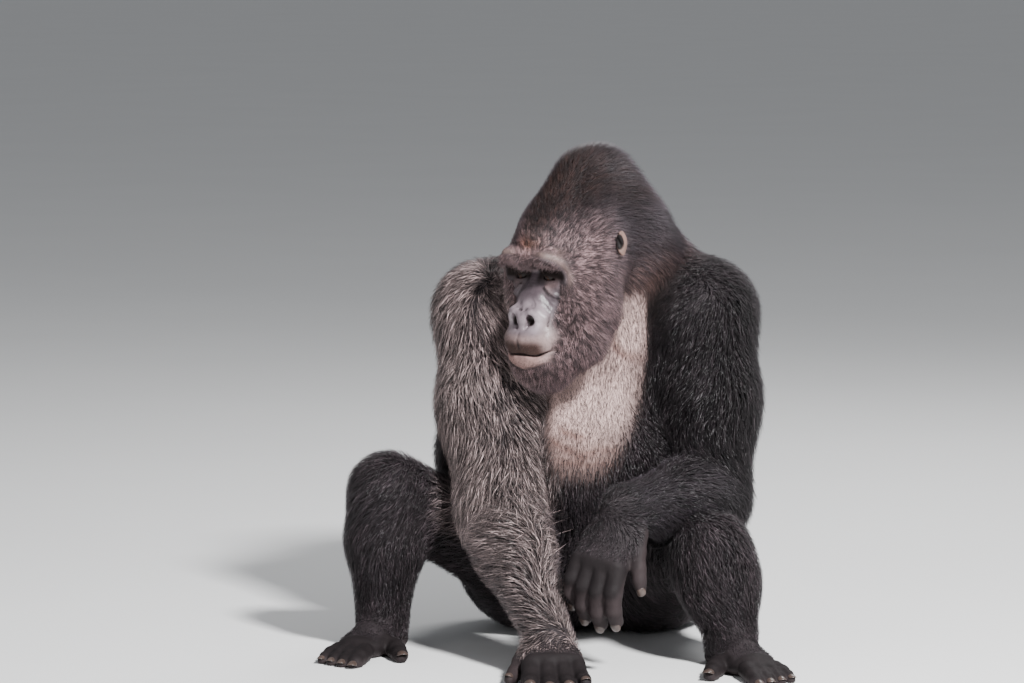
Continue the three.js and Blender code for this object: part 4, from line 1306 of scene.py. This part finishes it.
def locks(roots, normals, flow, length, depth, outline, rng, cell):
    """Root, middle and tip of each lock, lying along the flow under the outline of the coat.

    Tips that end in the same cell draw together into a clump and share a shade.
    """
    n = len(roots)
    wild = rng.normal(0, 1, (n, 3))
    wave = np.stack([np.sin(roots @ k) for k in SWAY], 1)
    flow = flow + 0.17 * wild + 0.16 * wave
    along = unit(flow - np.einsum("ij,ij->i", flow, normals)[:, None] * normals)
    rise = np.clip(depth / length, 0.08, 0.6)[:, None]
    middle = roots + length[:, None] * 0.45 * unit(along + rise * 1.5 * normals)
    ahead = unit(along + 0.25 * flow)
    tip = middle + length[:, None] * 0.55 * unit(ahead + rise * 0.25 * normals)
    for at, share in ((middle, 0.5), (tip, 0.97)):
        wanted = -depth * (1 - share) + depth * 0.12 * rng.normal(0, 1, n)
        off = outline.at(at) - wanted
        at -= np.clip(off, -14, 26)[:, None] * outline.slope(at)
    spot = np.floor((tip + 0.22 * cell * rng.normal(0, 1, (n, 3))) / cell).astype(int)
    key = (spot[:, 0] * 73856093) ^ (spot[:, 1] * 19349663) ^ (spot[:, 2] * 83492791)
    _, group = np.unique(key, return_inverse=True)
    held = np.stack([np.bincount(group, tip[:, i]) for i in range(3)], 1)
    held /= np.bincount(group)[:, None]
    tip += 0.5 * rng.random((n, 1)) * (held[group] - tip)
    lines = np.stack([roots - normals * 1.2, middle, tip], 1)
    lines[..., 2] = np.maximum(lines[..., 2], FLOOR_GAP)
    return lines, rng.lognormal(0, 0.5 + 1.2 / cell, group.max() + 1)[group]


# A kind of lock: the corners of its triangles, their places on its patch of the unwrap, and how
# light it is at each corner.
BENT = (
    ((0, 2, 1), (0, 1, 3), (1, 4, 3), (1, 2, 4), (2, 5, 4), (2, 0, 5), (0, 3, 5), (3, 4, 6),
     (4, 5, 6), (5, 3, 6)),
    ((0, 0.12), (-0.5, 0), (0.5, 0), (0, 0.5), (-0.4, 0.45), (0.4, 0.45), (0, 1)),
    (0.5, 0.5, 0.5, 0.95, 0.95, 0.95, 1.35),
)
STRAIGHT = (
    ((0, 2, 1), (0, 1, 3), (1, 2, 3), (2, 0, 3)),
    ((0, 0.15), (-0.5, 0), (0.5, 0), (0, 1)),
    (0.6, 0.6, 0.6, 1.3),
)


def coat_piece(name, kind, lines, normals, width, root_uv, colours):
    """Locks as closed three-sided spikes: bent at the middle, or straight where they are short."""
    spike, patch, shade = (np.array(part) for part in kind)
    n, bent = len(lines), kind is BENT
    first = unit(lines[:, 1] - lines[:, 0])
    second = unit(lines[:, 2] - lines[:, 1])
    side = unit(np.cross(first, normals))
    rings = []
    root = (lines[:, 0], first, width * 0.5)
    bend = (lines[:, 1], unit(first + second), width * 0.42)
    for at, along, w in (root, bend):
        up = unit(np.cross(side, along))
        for turn in (0, 120, 240):
            c, s = math.cos(math.radians(turn + 90)), math.sin(math.radians(turn + 90))
            rings.append(at + w[:, None] * (c * side + 0.6 * s * up))
    points = np.stack([*rings[: 6 if bent else 3], lines[:, 2]], 1)
    faces = (np.arange(n)[:, None, None] * points.shape[1] + spike).reshape(-1, 3)
    piece = new_piece(name, points.reshape(-1, 3), faces)
    uv = (root_uv[:, None] + UNWRAP_PATCH * (patch - [0, 0.5])).reshape(-1, 2)
    layer = piece.data.uv_layers.new(name="OFBake", do_init=False)
    layer.uv.foreach_set("vector", uv[faces.ravel()].astype(np.float32).ravel())
    paint(piece, "hair", np.clip(colours[:, None] * shade[:, None], 0, 1).reshape(-1, 3))
    return piece


def coat_region(p):
    """0 head, 1 right arm, 2 left arm, 3 right leg, 4 left leg, 5 the trunk."""
    q = into(HEAD, p)
    head = np.linalg.norm((q - [0, 90, 0]) / [150, 215, 235], axis=1) - 1
    arms, legs = [], []
    for s in (-1, 1):
        upper = limb(SHOULDERS[s], ELBOWS[s], 95, 90)(p)
        arms.append(np.minimum(upper, limb(ELBOWS[s], WRISTS[s], 85, 90)(p)))
        thigh = limb(HIPS[s] * [1.4, 1, 1], KNEES[s], 90, 84)(p)
        legs.append(np.minimum(thigh, limb(KNEES[s], ANKLES[s], 84, 90)(p)))
    parts = np.stack([head * 150, *arms, *legs, np.full(len(p), 12.0)])
    return parts.argmin(0)


REGIONS = ("head", "arm_right", "arm_left", "leg_right", "leg_left", "trunk")


def stiff(roots, normals, flow, length, lift, tone, rng):
    """Short bristles that stand off the skin by their own stiffness."""
    n = len(roots)
    flow = flow + 0.22 * rng.normal(0, 1, (n, 3))
    along = unit(flow - np.einsum("ij,ij->i", flow, normals)[:, None] * normals)
    ahead = unit(along + lift * rng.uniform(0.5, 1.5, (n, 1)) * normals)
    long = (length * rng.uniform(0.6, 1.3, n))[:, None]
    lines = np.stack([roots - normals, roots + 0.5 * long * ahead, roots + long * ahead], 1)
    lines[..., 2] = np.maximum(lines[..., 2], FLOOR_GAP)
    return lines, np.full(n, tone)


def brow_fringe(hide):
    """Where the bristles that hang from the brows over the eyes grow."""
    q = into(HEAD, hide.middle)
    x, z = np.abs(q[:, 0]), q[:, 2]
    edge = smooth(0.45, 0.6, eye_ring(q)) * smooth(0.86, 0.74, eye_ring(q))
    edge += blot(x / 22, 0) * smooth(12, 20, z)
    return edge * smooth(12, 18, z) * smooth(48, 40, z) * smooth(-6, -16, q[:, 1])


def whiskers(hide):
    """Where single short hairs grow out of the lips, the chin and the sides of the nose."""
    q = into(HEAD, hide.middle)
    on_face = (bare_face(q) > 0.25) & (np.linalg.norm(q - [0, 0, -60], axis=1) < 160)
    return on_face * (0.02 + 0.08 * smooth(-92, -106, q[:, 2]) + 0.3 * smooth(-138, -154, q[:, 2]))


def eye_piece(side):
    """An eyeball with its cornea standing proud, looking down and a little aside."""
    gaze = unit(np.array([-0.12, -0.93, -0.3]))
    u = unit(np.cross(gaze, [0, 0, 1.0]))
    v = np.cross(u, gaze)
    steps, turns = 56, 64
    theta = np.radians(np.linspace(0, 180, steps + 1))[1:-1]
    phi = np.radians(np.arange(turns) * 360 / turns)
    bulge = 1.2 * np.maximum(0, 1 - np.square(np.degrees(theta) / 28)) ** 1.3
    t, f = np.meshgrid(theta, phi, indexing="ij")
    radius = (EYE_RADIUS + bulge)[:, None, None]
    spread = np.sin(t)[..., None] * (np.cos(f)[..., None] * u + np.sin(f)[..., None] * v)
    ball = radius * (np.cos(t)[..., None] * gaze + spread)
    poles = np.array([gaze * (EYE_RADIUS + 1.2), -gaze * EYE_RADIUS])
    points = np.concatenate([ball.reshape(-1, 3), poles]) + [side * EYE_X, 0, 0]
    ring = np.arange(turns)
    nxt = (ring + 1) % turns
    faces = []
    for i in range(steps - 2):
        a, b = i * turns, (i + 1) * turns
        faces += [[a + j, b + j, b + k, a + k] for j, k in zip(ring, nxt)]
    front, back = len(points) - 2, len(points) - 1
    last = (steps - 2) * turns
    faces += [[front, j, k, k] for j, k in zip(ring, nxt)]
    faces += [[back, last + k, last + j, last + j] for j, k in zip(ring, nxt)]
    quads = np.array(faces)
    triangles = np.concatenate([quads[:, [0, 1, 2]], quads[:, [0, 2, 3]]])
    triangles = triangles[(triangles[:, 1] != triangles[:, 2])]
    name = "eyeball_left" if side > 0 else "eyeball_right"
    piece = new_piece(name, through(HEAD, points), triangles)
    degrees = np.degrees(np.arccos(np.clip(unit(points - [side * EYE_X, 0, 0]) @ gaze, -1, 1)))
    across = points - [side * EYE_X, 0, 0]
    fibres = 0.8 + 0.35 * np.sin(np.arctan2(across @ v, across @ u) * 23) * smooth(6, 20, degrees)
    iris = linear("#2c170a") * fibres[:, None]
    white = linear("#1b1412")
    colour = np.where((degrees < 26)[:, None], iris, white)
    colour *= (1 - 0.75 * np.exp(-np.square((degrees - 26) / 2.5)))[:, None]
    colour[degrees < 9] = linear("#050404")
    paint(piece, "eye", np.clip(colour, 0, 1))
    return piece


def nail_points(rows, up):
    """A curved plate over the last joint of a digit: its points and its faces."""
    along = unit(rows[3, :3] - rows[2, :3])
    up = unit(up - up @ along * along)
    side = np.cross(along, up)
    r = rows[3, 3]
    n = 13
    s, t = np.meshgrid(np.linspace(-1, 1, n), np.linspace(-1, 1, n), indexing="ij")
    x = s * np.sqrt(1 - t * t / 2)
    y = t * np.sqrt(1 - s * s / 2)
    rim = np.square(np.clip(x * x + y * y, 0, 1))[..., None]
    angle, y = x[..., None] * 1.05, y[..., None]
    middle = rows[3, :3] + along * (y * r * 0.78 + r * 0.22)
    arched = np.sin(angle) * side * 0.92 + np.cos(angle) * up * (1 - 0.1 * np.square(y + 0.2))
    outer = r * 1.07 * (1 - 0.03 * rim)
    inner = r * (1 - 0.03 * rim) - 0.13 * r * (1 - rim)
    shell = [middle + radius * arched for radius in (outer, inner)]
    points = np.concatenate([layer.reshape(-1, 3) for layer in shell])
    cell = np.array([[i * n + j, (i + 1) * n + j, (i + 1) * n + j + 1, i * n + j + 1]
                     for i in range(n - 1) for j in range(n - 1)])
    edge = ([(i, 0) for i in range(n)] + [(n - 1, j) for j in range(1, n)]
            + [(i, n - 1) for i in range(n - 2, -1, -1)] + [(0, j) for j in range(n - 2, 0, -1)])
    loop = np.array([i * n + j for i, j in edge])
    nxt = np.roll(loop, -1)
    wall = np.stack([loop, loop + n * n, nxt + n * n, nxt], 1)
    return points, np.concatenate([cell, cell[:, ::-1] + n * n, wall[:, ::-1]])


def nails_piece(name, matrix, digits):
    points, faces, start = [], [], 0
    for rows in digits:
        p, f = nail_points(rows, np.array([0, 0, 1.0]))
        points.append(p)
        faces.append(f + start)
        start += len(p)
    faces = np.concatenate(faces)
    if np.linalg.det(matrix[:3, :3]) < 0:
        faces = faces[:, ::-1]
    piece = new_piece(name, through(matrix, np.concatenate(points)), faces)
    mesh = bmesh.new()
    mesh.from_mesh(piece.data)
    bmesh.ops.recalc_face_normals(mesh, faces=mesh.faces)
    mesh.to_mesh(piece.data)
    mesh.free()
    return piece


# ---- The add-on ----------------------------------------------------------------------------------

FLESH = [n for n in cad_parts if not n.startswith("eye_")]
CHIN = np.array([[-153.0, -200, 570]])
FLOOR_SIZE = 180e3


class Shared:
    """What the operators hand on to each other."""

    outline = None


class GorillaCoat(bpy.types.PropertyGroup):
    density: FloatProperty(
        name="Density", description="Locks of hair, against the usual number", default=1.0, min=0.1
    )
    thickness: FloatProperty(
        name="Thickness", description="Width of the thinnest locks at the root", default=0.0012,
        unit="LENGTH",
    )
    seed: IntProperty(name="Seed", description="Which of the random coats grows", default=7)
    dark: FloatVectorProperty(
        name="Dark hair", description="Colour of most of the coat", subtype="COLOR",
        default=tuple(linear("#2b2427")), min=0, max=1,
    )
    silver: FloatVectorProperty(
        name="Silver hair", description="Colour of the saddle on the back", subtype="COLOR",
        default=tuple(linear("#948d89")), min=0, max=1,
    )


class GorillaStage(bpy.types.PropertyGroup):
    lens: FloatProperty(
        name="Lens", description="Focal length of the camera", default=156.25, unit="CAMERA"
    )
    distance: FloatProperty(
        name="Distance", description="From the camera to what it aims at", default=8.0, unit="LENGTH"
    )
    height: FloatProperty(
        name="Height", description="Angle of the camera above the horizon",
        default=math.radians(6), subtype="ANGLE",
    )


def grow(layer, kind, lines_and_shade, normals, uv, width, finish, rng):
    """Makes the pieces of one layer of the coat, each small enough to handle."""
    lines, shade = lines_and_shade
    roots = lines[:, 0]
    mottle = sum(np.sin(roots @ k) for k in PATCHES)
    shade = np.minimum(shade * np.exp(0.16 * mottle) * rng.lognormal(-0.28, 0.6, len(roots)), 3.0)
    colours = coat_colour(roots) * shade[:, None]
    region = coat_region(roots)
    most = MOST_TRIANGLES // len(kind[0])
    for i, name in enumerate(REGIONS):
        chosen = np.flatnonzero(region == i)
        if not len(chosen):
            continue
        for j, part in enumerate(np.array_split(chosen, math.ceil(len(chosen) / most))):
            chosen_rows = [a[part] for a in (lines, normals, width, uv, colours)]
            coat = coat_piece(f"coat_{name}_{layer}_{j + 1}", kind, *chosen_rows)
            coat.data.materials.append(finish)
            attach(coat, "root")


class GORILLA_OT_skin(bpy.types.Operator):
    """One closed skin from crown to toes, with the face, ears, hands and feet in full detail"""

    bl_idname = "gorilla.skin"
    bl_label = "Skin"

    def execute(self, context):
        Shared.outline = Outline()
        skin = skin_piece(Shared.outline)
        skin.data.materials.clear()
        skin.data.materials.append(gorilla_skin())
        skin.data.shade_smooth()
        colours, oil = skin_colour(vertices_of(skin))
        paint(skin, "skin", colours, oil)
        unwrap(skin)
        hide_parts(*FLESH)
        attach(skin, "root")
        return {"FINISHED"}


class GORILLA_OT_eyes(bpy.types.Operator):
    """Two wet eyes that look down from under their lids"""

    bl_idname = "gorilla.eyes"
    bl_label = "Eyes"

    def execute(self, context):
        finish = wet_eye()
        for side, node in ((1, "eye_left"), (-1, "eye_right")):
            eye = eye_piece(side)
            eye.data.materials.append(finish)
            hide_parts(node)
            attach(eye, "root")
        return {"FINISHED"}


class GORILLA_OT_nails(bpy.types.Operator):
    """Horny nails on all fingers and toes"""

    bl_idname = "gorilla.nails"
    bl_label = "Nails"

    def execute(self, context):
        finish = worn_nail()
        for side, word in ((1, "left"), (-1, "right")):
            for part, matrix, digits in (
                ("hand", HAND_FRAMES[side], finger_rows(*CURLS[side])),
                ("foot", FOOT_FRAMES[side], toe_rows()),
            ):
                nails = nails_piece(f"nails_{part}_{word}", matrix, digits)
                nails.data.materials.append(finish)
                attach(nails, "root")
        return {"FINISHED"}


class GORILLA_OT_coat(bpy.types.Operator):
    """The coat, as solid locks that grow from the skin and lie as the real hair does"""

    bl_idname = "gorilla.coat"
    bl_label = "Coat"

    def execute(self, context):
        settings = context.scene.gorilla_coat
        rng = np.random.default_rng(settings.seed)
        hide = Hide(bpy.data.objects["skin"])
        finish = gorilla_hair()
        coated = 1 - bareness(hide.middle)
        length = lie(hide.middle)[1]
        head = coat_region(hide.middle) == 0
        above_floor = hide.middle[:, 2] > 6
        layers = (
            ("long", BENT, ~head * 0.046 * coated**2, 1.0, 0.9, 10),
            ("under", STRAIGHT, ~head * 0.05 * coated**2, 0.75, 0.56, 8),
            ("short", STRAIGHT, head * coated**1.5 * np.clip(6.2 / length, 0.16, 0.6), 1.0, 0.62, 6),
        )
        for layer, kind, density, long, wide, cell in layers:
            roots, normals, uv = hide.scatter(settings.density * density * above_floor, rng)
            flow, length, depth = lie(roots)
            coated = 1 - bareness(roots)
            thin = 0.45 + 0.55 * coated
            length *= long * thin * rng.uniform(0.7, 1.2, len(roots))
            depth *= np.maximum(coated, 0.15)
            width = wide * (settings.thickness / MM * thin + 0.018 * length)
            width *= rng.uniform(0.8, 1.2, len(roots))
            lines = locks(roots, normals, flow, length, depth, Shared.outline, rng, cell)
            grow(layer, kind, lines, normals, uv, width, finish, rng)
        ahead = HEAD[:3, :3] @ unit(np.array([0.0, -0.8, -0.6]))
        singles = (
            ("brow", 0.34 * brow_fringe(hide), 12, 0.9, 0.9, 0.9, ahead),
            ("whisker", whiskers(hide), 5, 0.6, 0.5, 0.2, None),
            ("chest", 0.26 * bare_chest(hide.middle), 15, 0.2, 0.55, 1.0, None),
        )
        for layer, density, long, lift, wide, tone, way in singles:
            roots, normals, uv = hide.scatter(settings.density * density, rng)
            flow = lie(roots)[0] if way is None else np.tile(way, (len(roots), 1))
            lines = stiff(roots, normals, flow, long, lift, tone, rng)
            width = wide * rng.uniform(0.7, 1.2, len(roots))
            grow(layer, STRAIGHT, lines, normals, uv, width, finish, rng)
        return {"FINISHED"}


class GORILLA_OT_stage(bpy.types.Operator):
    """Pale floor, soft light and the camera"""

    bl_idname = "gorilla.stage"
    bl_label = "Stage"

    def execute(self, context):
        settings = context.scene.gorilla_stage
        aim = Vector(to_scene(CHIN)[0])
        corners = FLOOR_SIZE / 2 * np.array([[-1, -1, 0], [1, -1, 0], [1, 1, 0], [-1, 1, 0]])
        floor = new_piece("floor", corners - BODY_ORIGIN * [0, 0, 1], [[0, 1, 2, 3]], False)
        floor.data.materials.append(painted_floor())
        world = bpy.data.worlds.new("studio")
        world.use_nodes = True
        ground = world.node_tree.nodes["Background"]
        ground.inputs["Color"].default_value = (*linear("#d9dce0"), 1)
        ground.inputs["Strength"].default_value = 0.38
        context.scene.world = world
        for name, at, power, size in (
            ("key", (1.9, -3.8, 3.6), 820, 0.6),
            ("fill", (-3.4, -3.4, 1.8), 36, 2.6),
            ("back", (1.4, 2.6, 3.2), 70, 1.6),
        ):
            light = bpy.data.lights.new(name, "AREA")
            light.energy, light.size = power, size
            lamp = bpy.data.objects.new(name, light)
            lamp.location = at
            towards = Vector((0, 0, 0.5)) - lamp.location
            lamp.rotation_euler = towards.to_track_quat("-Z", "Y").to_euler()
            context.scene.collection.objects.link(lamp)
        camera = bpy.data.cameras.new("camera")
        camera.lens, camera.sensor_width, camera.clip_end = settings.lens, 36, 200
        eye = bpy.data.objects.new("camera", camera)
        away = Vector((0, -math.cos(settings.height), math.sin(settings.height)))
        eye.location = aim + away * settings.distance
        eye.rotation_euler = (-away).to_track_quat("-Z", "Y").to_euler()
        context.scene.collection.objects.link(eye)
        context.scene.camera = eye
        return {"FINISHED"}


class GORILLA_PT_parts(bpy.types.Panel):
    bl_label = "Gorilla"
    bl_space_type = "VIEW_3D"
    bl_region_type = "UI"
    bl_category = "Gorilla"

    def draw(self, context):
        layout = self.layout
        for settings in (context.scene.gorilla_coat, context.scene.gorilla_stage):
            box = layout.box()
            for key in settings.__annotations__:
                box.prop(settings, key)
        for operator in OPERATORS:
            layout.operator(operator.bl_idname)


OPERATORS = (GORILLA_OT_skin, GORILLA_OT_eyes, GORILLA_OT_nails, GORILLA_OT_coat, GORILLA_OT_stage)
CLASSES = (GorillaCoat, GorillaStage, *OPERATORS, GORILLA_PT_parts)


def register():
    for cls in CLASSES:
        bpy.utils.register_class(cls)
    bpy.types.Scene.gorilla_coat = PointerProperty(type=GorillaCoat)
    bpy.types.Scene.gorilla_stage = PointerProperty(type=GorillaStage)


def unregister():
    del bpy.types.Scene.gorilla_stage
    del bpy.types.Scene.gorilla_coat
    for cls in reversed(CLASSES):
        bpy.utils.unregister_class(cls)


def main():
    register()
    bpy.ops.gorilla.skin()
    bpy.ops.gorilla.eyes()
    bpy.ops.gorilla.nails()
    bpy.ops.gorilla.coat()
    bpy.ops.gorilla.stage()


if __name__ == "__main__":
    main()
